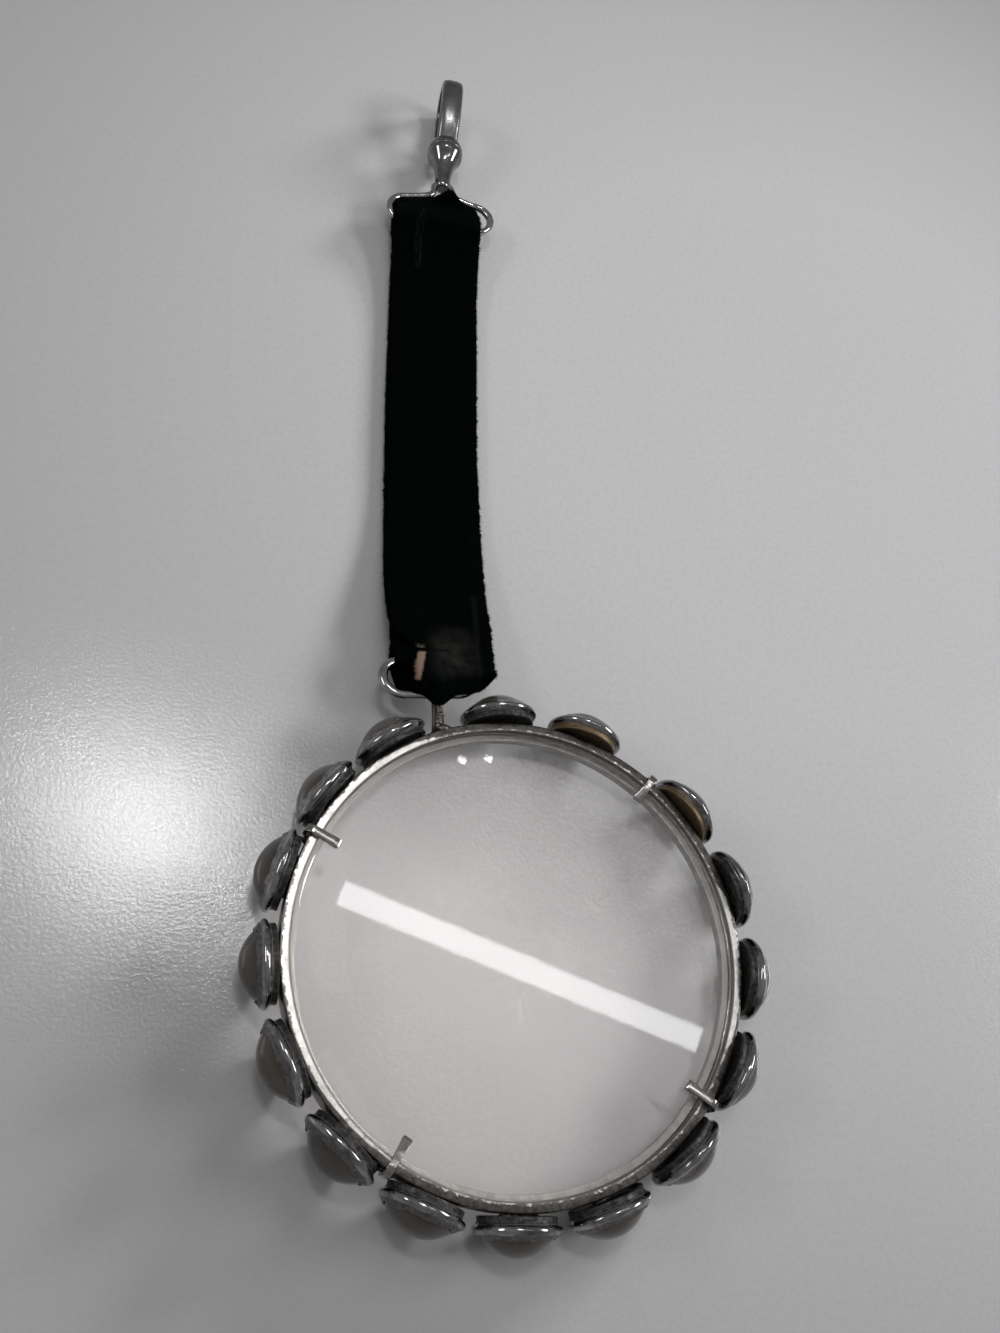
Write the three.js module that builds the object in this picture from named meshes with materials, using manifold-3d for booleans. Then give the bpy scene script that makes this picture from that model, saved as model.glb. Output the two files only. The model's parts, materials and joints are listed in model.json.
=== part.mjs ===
// Chatelaine magnifying glass: a round lens in a silver ring with sixteen cabochons around its
// rim, hung by an open wire link from a doubled ribbon that ends in a wire stirrup and a small
// swivel snap hook. Millimetres, +Z up. The glass lies on its stone settings as on a table, with
// the ribbon laid out along +Y; the origin is under the middle of the whole object.
import * as THREE from 'three';
import { mergeVertices } from 'three/addons/utils/BufferGeometryUtils.js';
import Module from 'manifold-3d';

const wasm = await Module();
wasm.setup();

// Gaps between pieces
const setGap = 0.12;      // soldered, set or cemented pieces
const runningGap = 0.1;   // pieces that turn on each other
const tableGap = 0.08;    // soft or raised pieces above the table

// Cabochons and their collets, along the axis that points out of the ring
const cabochonDiameter = 7.8;
const cabochonGirdle = 0.58;     // straight side below the dome
const cabochonDome = 2.37;       // dome above the girdle
const colletBackDepth = 0.3;     // hollow behind the back plate
const colletBackPlate = 0.3;
const colletBackRim = 0.45;      // rim left round the hollow back
const colletCrownWall = 0.38;    // polished swelling round the stone, across its flats
const colletCrownSwell = 0.4;    // from the plain band out to the swelling
const colletBandHeight = 0.62;
const colletGroove = 0.12;
const colletCrownHeight = 0.5;
const colletLipHeight = 0.4;
const colletLipClose = 0.24;     // how far the lip is rolled in over the stone
const bezelGap = 0.92;           // between the crowns of neighbouring collets

// Places round the rim, in degrees clockwise from the ribbon's direction
const bailAngle = -20;
const firstStoneAngle = -3;
const secondStoneAngle = 20;
const thirdStoneAngle = 51.9;    // after the wide gap that holds a claw
const rightPitch = 21.9;
const rightCount = 6;            // stones three to eight
const lastStoneAngle = 328;
const leftPitch = 20.8;
const leftCount = 8;             // stones sixteen back to nine
const clawAngles = [40.3, 128.55, 213.6, 296.8];

// Ring and lens
const ringWall = 1.05;
const ringDepth = 3.8;
const ringBevel = 0.15;
const seatReach = 0.7;           // ledge inside the ring, behind the lens
const lensEdge = 1.5;
const lensBackRadius = 80;       // curvature of the convex back
const lensFrontInset = 0.3;      // front face below the ring's front edge
const lensBevel = 0.2;

// Claws
const clawWidth = 0.85;
const clawThickness = 0.6;
const clawReach = 2.2;           // over the glass, from the ring's inner wall
const clawFoot = 2.6;            // down the ring's outer wall
const clawBend = 0.75;
const clawLift = 0.12;

// Eye, link and stirrup wires
const eyeWire = 0.75;
const eyeSlack = 0.28;           // between the eye and the link's wire
const eyeReach = 4.65;           // from the ring's wall to the link's lower bar, along the ribbon
const linkWire = 0.95;
const linkSpan = 4.7;            // between the link's two bars
const linkCut = 1.1;             // opening in the link's upper bar
const linkShift = 0.9;           // how far the link has slid sideways in the eye
const linkTilt = -8;             // degrees, its ribbon end sags towards the table
const linkTuckShare = 0.6;       // of a stone's radius, kept between the link and the stone's axis
const stirrupWire = 0.95;
const stirrupRise = 4.85;        // from the lower bar to the shoulders' outer ends
const stirrupSide = 1.2;         // from the ribbon's edge to the wire's middle
const stirrupKnee = 5.9;         // from the lower bar to where the shoulders kick up
const stirrupKneeOut = 1.9;      // from the apex, sideways
const stirrupApex = 8.2;         // from the lower bar to the hole in the shank
const stirrupApexShift = 0.6;    // how far the apex is off the middle
const stirrupSkew = 3.5;         // degrees, the wire hangs a little askew in the ribbon

// Ribbon
const ribbonWidth = 12.5;
const ribbonPly = 0.7;
const ribbonRun = 70.2;          // between the bars that carry its two folds
const ribbonTunnelSlack = 0.475; // between a bar and the fold round it
const ribbonTurnback = 2.4;      // from the link's bar to where the full width begins
const ribbonCrownReach = 3.5;    // from the stirrup's bar to the top of the fold
const ribbonCrownTip = 0.95;     // half height of the fold's top
const stirrupBarHeight = 2.9;    // above the table
const ribbonX = -7.88;

// Swivel shank and hook, along the axis that leaves the stirrup
const shankX = -6.98;
const footRadius = 1.15;
const footLength = 0.9;          // beyond the wire's hole, each way
const shankReach = 6.05;         // from the wire's hole to the joint line
const ballRadius = 2.6;
const ballFrontHeight = 1.3;     // straight-sided part below the joint line
const shankLean = 3.8;           // degrees, the shank leans away from the ribbon's line
const hookRoll = -3;             // degrees, the hook has turned on its rivet
const stemRadius = 0.75;
const headRadius = 1.05;
const headHeight = 0.45;
const capHeight = 2.45;          // hook's base, from the joint line to its flat top
const capTopRadius = 1.6;
const hookWidth = 3.1;
const hookThickness = 1.4;
const hookBend = 3.65;           // radius of the bend, to the middle of the band
const hookRun = 6.9;             // from the base's flat top to the middle of the bend
const hookRoot = 1.45;           // where the spine leaves the base, off the swivel axis
const beakAngle = -50;           // degrees round the bend where the beak ends
const pinRadius = 0.35;
const pinAhead = 1.6;            // gate's pin beyond the base's flat top
const pinDrop = 2.4;             // gate's pin below the swivel axis
const gateRoot = 0.8;
const gateWall = 0.45;
const gateTip = 0.45;            // half height of the gate at its tip
const gateTongue = 0.25;
const gateTongueHeight = 0.27;
const lugWidth = 1;
const lugRadius = 0.7;
const leafWidth = 0.7;
const leafThickness = 0.15;

// Facets
const stoneSides = 16;
const domeSteps = 4;
const ringSides = 72;
const lensSides = 64;
const lensSteps = 5;
const wireSides = 8;
const shankSides = 20;
const pinSides = 12;

// Worked-out sizes
const halfTurn = Math.PI;
const quarterTurn = halfTurn / 2;
const radians = THREE.MathUtils.degToRad;
const cabochonRadius = cabochonDiameter / 2;
const colletCrownRadius = cabochonRadius + setGap + colletCrownWall;
const colletBandRadius = colletCrownRadius - colletCrownSwell;
const seatHeight = setGap + colletBackDepth + colletBackPlate;
const crownTop = setGap + colletBandHeight + colletGroove * 2 + colletCrownHeight;
const halfPitch = radians(Math.min(leftPitch, rightPitch)) / 2;
const ringOuterRadius = (colletCrownRadius + bezelGap / 2) / Math.tan(halfPitch) - crownTop;
const ringInnerRadius = ringOuterRadius - ringWall;
const ringFront = ringDepth / 2;
const lensRadius = ringInnerRadius - setGap;
const lensFront = ringFront - lensFrontInset;
const lensBackEdge = lensFront - lensEdge;
const restHeight = colletCrownRadius;
const bail = radians(bailAngle);
const eyeX = Math.sin(bail) * ringOuterRadius;
const linkRadius = linkWire / 2;
const stirrupRadius = stirrupWire / 2;
const tunnelRadius = linkRadius + ribbonTunnelSlack;
const jointLine = stirrupApex + shankReach;
const capTop = jointLine + capHeight;
const bendCentre = capTop + hookRun;
const pinAlong = capTop + pinAhead;

const X = new THREE.Vector3(1, 0, 0);
const Y = new THREE.Vector3(0, 1, 0);
const Z = new THREE.Vector3(0, 0, 1);

// Materials

function polished(color, roughness) {
  return new THREE.MeshStandardMaterial({ color, roughness, metalness: 1 });
}

const silver = polished(0x9c9893, 0.28);
const wornSilver = polished(0xb4b0aa, 0.42);
const steel = polished(0xb9b9bb, 0.18);
const darkSteel = polished(0x6f6d6c, 0.3);
const stone = new THREE.MeshStandardMaterial({ color: 0x57524a, roughness: 0.12, metalness: 0 });
const glass = new THREE.MeshStandardMaterial({
  color: 0xeef1f1, roughness: 0.03, metalness: 0, transparent: true, opacity: 0.35,
});
const velvet = new THREE.MeshStandardMaterial({ color: 0x0b1213, roughness: 0.95, metalness: 0 });

// Small tools

// A turned form whose radii are measured across its flats, with one flat facing down.
function turned(profile, sides) {
  const corner = 1 / Math.cos(halfTurn / sides);
  const points = profile.map(([radius, along]) => new THREE.Vector2(radius * corner, along));
  return new THREE.LatheGeometry(points, sides, halfTurn / sides, halfTurn * 2);
}

function arcPoints(centreX, centreY, radius, from, to, steps) {
  return Array.from({ length: steps + 1 }, (_, i) => {
    const angle = from + ((to - from) * i) / steps;
    return [centreX + radius * Math.cos(angle), centreY + radius * Math.sin(angle)];
  });
}

// An arc about a centre, from the direction u towards the direction v.
class PlaneArc extends THREE.Curve {
  constructor(centre, u, v, radius, from, to) {
    super();
    Object.assign(this, { centre, u, v, radius, from, to });
  }

  getPoint(t, target = new THREE.Vector3()) {
    const angle = this.from + (this.to - this.from) * t;
    return target.copy(this.centre)
      .addScaledVector(this.u, this.radius * Math.cos(angle))
      .addScaledVector(this.v, this.radius * Math.sin(angle));
  }
}

function joined(...curves) {
  const path = new THREE.CurvePath();
  curves.forEach((curve) => path.add(curve));
  return path;
}

function straight(from, to) {
  return new THREE.LineCurve3(from, to);
}

function polygon(points) {
  return new THREE.Shape(points.map(([x, y]) => new THREE.Vector2(x, y)));
}

function roundSection(radius) {
  return polygon(arcPoints(0, 0, radius, 0, halfTurn * 2, wireSides).slice(0, wireSides));
}

function swept(section, path, steps) {
  return new THREE.ExtrudeGeometry(section, { steps, extrudePath: path, bevelEnabled: false });
}

// A plate of the given width across X, whose outline is drawn in (Y, Z).
function crossPlate(points, width, middle = 0) {
  const geometry = new THREE.ExtrudeGeometry(polygon(points), { depth: width, bevelEnabled: false });
  geometry.translate(0, 0, middle - width / 2);
  return geometry.applyMatrix4(new THREE.Matrix4().makeBasis(Y, Z, X));
}

function crossBar(along, height, radius, width, middle = 0, sides = wireSides * 2) {
  const outline = arcPoints(along, height, radius / Math.cos(halfTurn / sides), 0, halfTurn * 2, sides);
  return crossPlate(outline.slice(0, sides), width, middle);
}

function toManifold(geometry) {
  const bare = geometry.clone();
  bare.deleteAttribute('normal');
  bare.deleteAttribute('uv');
  const merged = mergeVertices(bare);
  const vertProperties = new Float32Array(merged.attributes.position.array);
  const triVerts = new Uint32Array(merged.index.array);
  return new wasm.Manifold(new wasm.Mesh({ numProp: 3, vertProperties, triVerts }));
}

function fromManifold(body) {
  const mesh = body.getMesh();
  const geometry = new THREE.BufferGeometry();
  geometry.setAttribute('position', new THREE.BufferAttribute(mesh.vertProperties, 3));
  geometry.setIndex(new THREE.BufferAttribute(mesh.triVerts, 1));
  geometry.computeVertexNormals();
  return geometry;
}

function combined(added, cut = []) {
  const whole = added.map(toManifold).reduce((sum, body) => sum.add(body));
  return fromManifold(cut.map(toManifold).reduce((rest, body) => rest.subtract(body), whole));
}

function piece(name, geometry, material) {
  const mesh = new THREE.Mesh(geometry, material);
  mesh.name = name;
  return mesh;
}

// Ring and lens, drawn about the lens's axis with z = 0 in the plane of the stones

function lensBackHeight(radius) {
  const flat = Math.sqrt(lensBackRadius ** 2 - lensRadius ** 2);
  return lensBackEdge + flat - Math.sqrt(lensBackRadius ** 2 - radius ** 2);
}

function lensRing() {
  const seatRadius = ringInnerRadius - seatReach;
  const seatTop = lensBackHeight(seatRadius) - setGap;
  const profile = [
    [seatRadius, -ringFront],
    [ringOuterRadius - ringBevel, -ringFront],
    [ringOuterRadius, -ringFront + ringBevel],
    [ringOuterRadius, ringFront - ringBevel],
    [ringOuterRadius - ringBevel, ringFront],
    [ringInnerRadius + ringBevel, ringFront],
    [ringInnerRadius, ringFront - ringBevel],
    [ringInnerRadius, seatTop],
    [seatRadius, seatTop],
    [seatRadius, -ringFront],
  ];
  return piece('lens_ring', turned(profile, ringSides).rotateX(quarterTurn), wornSilver);
}

function lens() {
  const back = Array.from({ length: lensSteps + 1 }, (_, i) => {
    const radius = (lensRadius * i) / lensSteps;
    return [radius, lensBackHeight(radius)];
  });
  const front = [[lensRadius, lensFront - lensBevel], [lensRadius - lensBevel, lensFront], [0, lensFront]];
  return piece('lens', turned([...back, ...front], lensSides).rotateX(quarterTurn), glass);
}

// Cabochons and collets, drawn with their axis along +Y and the lens's axis at the origin

function stoneAngles() {
  const right = Array.from({ length: rightCount }, (_, i) => thirdStoneAngle + rightPitch * i);
  const left = Array.from({ length: leftCount }, (_, i) => lastStoneAngle - leftPitch * i).reverse();
  return [firstStoneAngle, secondStoneAngle, ...right, ...left];
}

function cabochon(name) {
  const base = ringOuterRadius + seatHeight + setGap;
  const girdle = base + cabochonGirdle;
  const domeRadius = (cabochonRadius ** 2 + cabochonDome ** 2) / (2 * cabochonDome);
  const domeCentre = girdle + cabochonDome - domeRadius;
  const start = Math.asin((girdle - domeCentre) / domeRadius);
  const dome = arcPoints(0, domeCentre, domeRadius, start, quarterTurn, domeSteps);
  dome[domeSteps] = [0, girdle + cabochonDome];
  return piece(name, turned([[0, base], [cabochonRadius, base], ...dome], stoneSides), stone);
}

function collet(name) {
  const back = ringOuterRadius + setGap;
  const groove = back + colletBandHeight;
  const crown = groove + colletGroove * 2;
  const lip = crown + colletCrownHeight + colletLipHeight;
  const bore = cabochonRadius + setGap;
  const lipStart = back + colletBackDepth + colletBackPlate + setGap + cabochonGirdle;
  const profile = [
    [0, back + colletBackDepth],
    [colletBandRadius - colletBackRim, back + colletBackDepth],
    [colletBandRadius - colletBackRim, back],
    [colletBandRadius, back],
    [colletBandRadius, groove],
    [colletCrownRadius, crown],
    [colletCrownRadius, crown + colletCrownHeight],
    [bore - colletLipClose, lip],
    [bore, lipStart],
    [bore, back + colletBackDepth + colletBackPlate],
    [0, back + colletBackDepth + colletBackPlate],
  ];
  return piece(name, turned(profile, stoneSides), silver);
}

function stoneSettings() {
  const settings = new THREE.Group();
  stoneAngles().forEach((angle, i) => {
    const number = String(i + 1).padStart(2, '0');
    const setting = new THREE.Group();
    setting.rotation.z = -radians(angle);
    setting.add(collet(`collet_${number}`), cabochon(`cabochon_${number}`));
    settings.add(setting);
  });
  return settings;
}

// Claws: flat wire soldered to the ring's outer wall, turned in over its front edge

function claw(name) {
  const out = ringOuterRadius + setGap + clawThickness / 2;
  const top = ringFront + setGap + clawLift + clawThickness / 2;
  const tipHeight = lensFront + setGap + clawThickness / 2;
  const tip = ringInnerRadius - clawReach;
  const foot = new THREE.Vector3(0, out, top - clawFoot);
  const bendStart = new THREE.Vector3(0, out, top - clawBend);
  const corner = new THREE.Vector3(0, out, top);
  const bendEnd = new THREE.Vector3(0, out - clawBend, top);
  const path = joined(
    straight(foot, bendStart),
    new THREE.QuadraticBezierCurve3(bendStart, corner, bendEnd),
    straight(bendEnd, new THREE.Vector3(0, tip, tipHeight)),
  );
  const halfWidth = clawWidth / 2;
  const halfDepth = clawThickness / 2;
  const section = polygon([
    [-halfDepth, -halfWidth], [halfDepth, -halfWidth], [halfDepth, halfWidth], [-halfDepth, halfWidth],
  ]);
  const steps = 14;
  return piece(name, swept(section, path, steps), wornSilver);
}

function claws() {
  const set = new THREE.Group();
  clawAngles.forEach((angle, i) => {
    const place = new THREE.Group();
    place.rotation.z = -radians(angle);
    place.add(claw(`claw_${i + 1}`));
    set.add(place);
  });
  return set;
}

// Eye: a hairpin of wire that stands out from the ring and holds the link's lower bar

function frameEye() {
  const halfHeight = linkRadius + eyeSlack + eyeWire / 2;
  const nearSide = Math.abs(eyeX) - eyeWire / 2;
  const root = Math.sqrt(ringOuterRadius ** 2 - nearSide ** 2) + setGap;
  const bar = linkBar.y;
  const path = joined(
    straight(new THREE.Vector3(0, root, halfHeight), new THREE.Vector3(0, bar, halfHeight)),
    new PlaneArc(new THREE.Vector3(0, bar, 0), Z, Y, halfHeight, 0, halfTurn),
    straight(new THREE.Vector3(0, bar, -halfHeight), new THREE.Vector3(0, root, -halfHeight)),
  );
  const steps = 24;
  const eye = piece('frame_eye', swept(roundSection(eyeWire / 2), path, steps), wornSilver);
  eye.position.x = eyeX;
  return eye;
}

// Link: a flattened open ring, lower bar in the eye and upper bar in the ribbon's fold

const linkBar = new THREE.Vector2(eyeX, Math.cos(bail) * ringOuterRadius + eyeReach);
const stoneOneX = Math.sin(radians(firstStoneAngle)) * ringOuterRadius;
const linkMiddle = linkBar.x - linkShift;
const linkHalfLength = stoneOneX - linkMiddle - cabochonRadius * linkTuckShare;
const linkEnd = linkSpan / 2;
const linkStraight = linkHalfLength - linkEnd - linkRadius;

function openLink() {
  const left = new THREE.Vector3(-linkStraight, linkEnd, 0);
  const right = new THREE.Vector3(linkStraight, linkEnd, 0);
  const path = joined(
    new PlaneArc(left, X, Y, linkEnd, quarterTurn, quarterTurn * 3),
    straight(new THREE.Vector3(-linkStraight, 0, 0), new THREE.Vector3(linkStraight, 0, 0)),
    new PlaneArc(right, X, Y, linkEnd, -quarterTurn, quarterTurn),
    straight(
      new THREE.Vector3(linkStraight, linkSpan, 0),
      new THREE.Vector3(-linkStraight + linkCut, linkSpan, 0),
    ),
  );
  const steps = 44;
  return piece('open_link', swept(roundSection(linkRadius), path, steps), steel);
}

// Ribbon: two plies laid together, folded round the link's upper bar and the stirrup's lower bar

const tilt = radians(linkTilt);
const lowFold = new THREE.Vector2(
  linkBar.y + linkSpan * Math.cos(tilt),
  restHeight + linkSpan * Math.sin(tilt),
);
const highFold = new THREE.Vector2(lowFold.x + ribbonRun, stirrupBarHeight);
const lieHeight = ribbonPly + tableGap;
const tongueWidth = (linkHalfLength - linkWire) * 2 - ribbonTunnelSlack * 3;

// The stirrup hangs a little askew, with its apex in the hole of the shank.
const skew = radians(stirrupSkew);
const stirrupCurl = stirrupRise / 2;
const stirrupFlat = ribbonWidth / 2 + stirrupSide - stirrupCurl;
const wireApex = new THREE.Vector2(stirrupApexShift, stirrupApex).rotateAround(new THREE.Vector2(), skew);
const curlInsetShare = 0.6;

function wireInGroup() {
  return new THREE.Matrix4().makeRotationZ(skew).setPosition(-wireApex.x, stirrupApex - wireApex.y, 0);
}

function wirePlace() {
  return new THREE.Matrix4().makeRotationX(swivelSlope())
    .setPosition(shankX, highFold.x, stirrupBarHeight)
    .multiply(wireInGroup());
}

// How the ribbon sinks to the table and climbs again: shares of its run, and of the fold's height
const sinkShares = [[0.06, 0.9], [0.16, 0.45], [0.3, 0.04]];
const climbShares = [[0.78, 0.03], [0.9, 0.4], [0.96, 0.8]];

function ribbonLine() {
  const place = (runShare, heightShare, fold) => new THREE.Vector2(
    lowFold.x + ribbonRun * runShare,
    lieHeight + (fold.y - lieHeight) * heightShare,
  );
  return new THREE.SplineCurve([
    lowFold,
    ...sinkShares.map(([run, height]) => place(run, height, lowFold)),
    ...climbShares.map(([run, height]) => place(run, height, highFold)),
    highFold,
  ]);
}

function ribbonStrip(from, to, width, middle, steps) {
  const line = ribbonLine();
  const upper = [];
  const lower = [];
  for (let i = 0; i <= steps; i += 1) {
    const share = from + ((to - from) * i) / steps;
    const point = line.getPointAt(share);
    const along = line.getTangentAt(share);
    const off = new THREE.Vector2(-along.y, along.x).multiplyScalar(ribbonPly);
    upper.push([point.x + off.x, point.y + off.y]);
    lower.push([point.x - off.x, point.y - off.y]);
  }
  return crossPlate([...lower, ...upper.reverse()], width, middle);
}

// A loop round a bar, drawn out towards its tip.
function foldOutline(centre, radius, behind = 0, ahead = behind, tipRadius = radius) {
  const sides = 12;
  return [
    ...arcPoints(centre.x + ahead, centre.y, tipRadius, -quarterTurn, quarterTurn, sides / 2),
    ...arcPoints(centre.x - behind, centre.y, radius, quarterTurn, quarterTurn * 3, sides / 2),
  ];
}

// The fold's top stays clear of the stirrup's curls, and reaches up between its shoulders.
function crownSpan() {
  const inset = (stirrupCurl - stirrupRadius - runningGap) * curlInsetShare;
  const reach = stirrupFlat + inset;
  const middle = shankX - wireApex.x;
  const from = Math.max(ribbonX - ribbonWidth / 2, middle - reach);
  const to = Math.min(ribbonX + ribbonWidth / 2, middle + reach);
  return { width: to - from, middle: (from + to) / 2 };
}

// Room in the fold for a curl of the stirrup as the wire swings about its bar.
function curlRelief(side) {
  const hollow = stirrupCurl - stirrupRadius - runningGap;
  const steps = 6;
  const room = Array.from({ length: steps + 1 }, (_, i) => {
    const out = (hollow * i) / steps;
    return [stirrupCurl - Math.sqrt(hollow ** 2 - out ** 2), stirrupFlat + out];
  });
  const end = stirrupFlat + stirrupCurl + stirrupWire;
  const profile = [[0, stirrupFlat], ...room, [stirrupCurl, end], [0, end]];
  return turned(profile, wireSides * 2).rotateZ(-quarterTurn * side).applyMatrix4(wirePlace());
}

function ribbonStrap() {
  const turnShare = ribbonTurnback / ribbonLine().getLength();
  const overrun = ribbonWidth;
  const skewReach = (ribbonWidth / 2) * Math.sin(skew);
  const lowMiddle = linkMiddle;
  const crown = crownSpan();
  const crownAhead = ribbonCrownReach - ribbonCrownTip;
  const stripSteps = 28;
  const body = combined(
    [
      ribbonStrip(turnShare, 1, ribbonWidth, ribbonX, stripSteps),
      ribbonStrip(0, turnShare * 2, tongueWidth, lowMiddle, 2),
      crossPlate(foldOutline(lowFold, tunnelRadius + ribbonPly), tongueWidth, lowMiddle),
      crossPlate(foldOutline(highFold, tunnelRadius + ribbonPly, skewReach), ribbonWidth, ribbonX),
      crossPlate(
        foldOutline(highFold, tunnelRadius + ribbonPly, skewReach, crownAhead, ribbonCrownTip),
        crown.width, crown.middle,
      ),
    ],
    [
      crossPlate(foldOutline(lowFold, tunnelRadius), ribbonWidth + overrun, lowMiddle),
      crossPlate(foldOutline(highFold, tunnelRadius, skewReach), ribbonWidth + overrun, ribbonX),
      crossPlate(
        foldOutline(highFold, tunnelRadius, skewReach, crownAhead, ribbonCrownTip - ribbonPly),
        ribbonWidth + overrun, ribbonX,
      ),
      curlRelief(-1),
      curlRelief(1),
    ],
  );
  return piece('ribbon_strap', body, velvet);
}

// Stirrup: a wire hanger whose shoulders rise to the hole in the swivel shank

function stirrupPath() {
  const curl = stirrupCurl;
  const flat = stirrupFlat;
  const apex = new THREE.Vector3(stirrupApexShift, stirrupApex, 0);
  const left = new THREE.Vector3(-flat, curl, 0);
  const right = new THREE.Vector3(flat, curl, 0);
  const shoulders = new THREE.CatmullRomCurve3([
    new THREE.Vector3(flat, stirrupRise, 0),
    new THREE.Vector3(stirrupApexShift + stirrupKneeOut, stirrupKnee, 0),
    new THREE.Vector3(stirrupApexShift + footRadius, stirrupApex - linkRadius, 0),
    apex,
    new THREE.Vector3(stirrupApexShift - footRadius, stirrupApex - linkRadius, 0),
    new THREE.Vector3(stirrupApexShift - stirrupKneeOut, stirrupKnee, 0),
    new THREE.Vector3(-flat, stirrupRise, 0),
  ]);
  const start = new THREE.Vector3(setGap, 0, 0);
  return joined(
    straight(start, new THREE.Vector3(flat, 0, 0)),
    new PlaneArc(right, X, Y, curl, -quarterTurn, quarterTurn),
    shoulders,
    new PlaneArc(left, X, Y, curl, quarterTurn, quarterTurn * 3),
    straight(new THREE.Vector3(-flat, 0, 0), new THREE.Vector3(-setGap, 0, 0)),
  );
}

function stirrup() {
  const steps = 72;
  return piece('stirrup_wire', swept(roundSection(stirrupRadius), stirrupPath(), steps), steel);
}

// Swivel shank: pierced foot, cone and lower half of the ball, with the rivet that holds the hook

const coneShares = [[0.04, 0.1], [0.24, 0.4], [0.55, 0.69], [0.88, 0.9]];
const footTipShare = 0.8;

function swivelShank() {
  const foot = stirrupApex - footLength;
  const coneStart = stirrupApex + footLength;
  const coneEnd = jointLine - ballFrontHeight;
  const cone = coneShares.map(([radiusShare, lengthShare]) => [
    footRadius + (ballRadius - footRadius) * radiusShare,
    coneStart + (coneEnd - coneStart) * lengthShare,
  ]);
  const headBase = capTop + runningGap;
  const profile = [
    [0, foot],
    [footRadius * footTipShare, foot],
    [footRadius, foot + footLength / 2],
    ...cone,
    [ballRadius, jointLine - ballFrontHeight / 2],
    [ballRadius, jointLine - runningGap],
    [stemRadius, jointLine - runningGap],
    [stemRadius, headBase],
    [headRadius, headBase],
    [headRadius, headBase + headHeight],
    [0, headBase + headHeight],
  ];
  const hole = straight(
    new THREE.Vector3(-footRadius * 2, stirrupApex, 0),
    new THREE.Vector3(footRadius * 2, stirrupApex, 0),
  );
  const bore = swept(roundSection(stirrupRadius + setGap + linkRadius), hole, 1);
  return piece('swivel_shank', combined([turned(profile, shankSides)], [bore]), steel);
}

// Hook: a half-round band bent from the base over to the beak, with the gate's lug on the far side

const capShares = [[1, 0.1], [0.93, 0.45], [0.8, 0.75]];
const crownShares = [[1, 0.5], [0.86, 0.84], [0.36, 1]];
const lugRootShare = 0.33;
const lugDropShare = 0.8;
const lugTangentShares = [[-0.7, -0.7], [-0.5, 0.85]];

function hookPath() {
  const spineTop = new THREE.Vector3(0, bendCentre, hookBend);
  const root = new THREE.Vector3(0, capTop - hookThickness / 2, hookRoot);
  const shoulder = new THREE.Vector3(0, capTop + hookRun / 3, hookBend);
  const leave = new THREE.Vector3(0, capTop + hookThickness / 2, hookRoot + hookThickness / 2);
  return joined(
    new THREE.CubicBezierCurve3(root, leave, shoulder, spineTop),
    new PlaneArc(
      new THREE.Vector3(0, bendCentre, 0), Y, Z, hookBend, quarterTurn, radians(beakAngle),
    ),
  );
}

function hookSection() {
  const half = hookWidth / 2;
  const inner = -hookThickness / 2;
  const right = crownShares.map(([side, rise]) => [half * side, inner + hookThickness * rise]);
  const left = crownShares.map(([side, rise]) => [-half * side, inner + hookThickness * rise]).reverse();
  return polygon([[-half, inner], [half, inner], ...right, ...left]);
}

function hookBody() {
  const start = jointLine;
  const dome = capShares.map(([side, rise]) => [
    ballRadius * side, start + capHeight * rise,
  ]);
  const base = turned([[0, start], [ballRadius, start], ...dome, [capTopRadius, capTop], [0, capTop]], shankSides);
  const bore = turned([
    [0, start - runningGap], [stemRadius + runningGap, start - runningGap],
    [stemRadius + runningGap, capTop + runningGap], [0, capTop + runningGap],
  ], shankSides);
  const lugRoot = start + capHeight * lugRootShare;
  const tangents = lugTangentShares.map(([along, drop]) => [
    pinAlong + lugRadius * along, -pinDrop + lugRadius * drop,
  ]);
  const lug = crossPlate([
    [lugRoot, -capTopRadius], [lugRoot, -ballRadius * lugDropShare], tangents[0],
    [pinAlong, -pinDrop], tangents[1], [capTop - runningGap, -capTopRadius],
  ], lugWidth);
  const steps = 26;
  const body = combined(
    [base, swept(hookSection(), hookPath(), steps), lug, crossBar(pinAlong, -pinDrop, lugRadius, lugWidth)],
    [bore, crossBar(pinAlong, -pinDrop, pinRadius + runningGap / 2, hookWidth)],
  );
  return piece('hook_body', body, darkSteel);
}

// Gate: a channel that turns on its pin and closes inside the beak

function gateReach() {
  const inner = hookBend - hookThickness / 2;
  const beak = radians(beakAngle);
  const ahead = bendCentre + inner * Math.cos(beak) - pinAlong;
  const across = inner * Math.sin(beak) + pinDrop;
  return Math.hypot(ahead, across) - runningGap;
}

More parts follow.
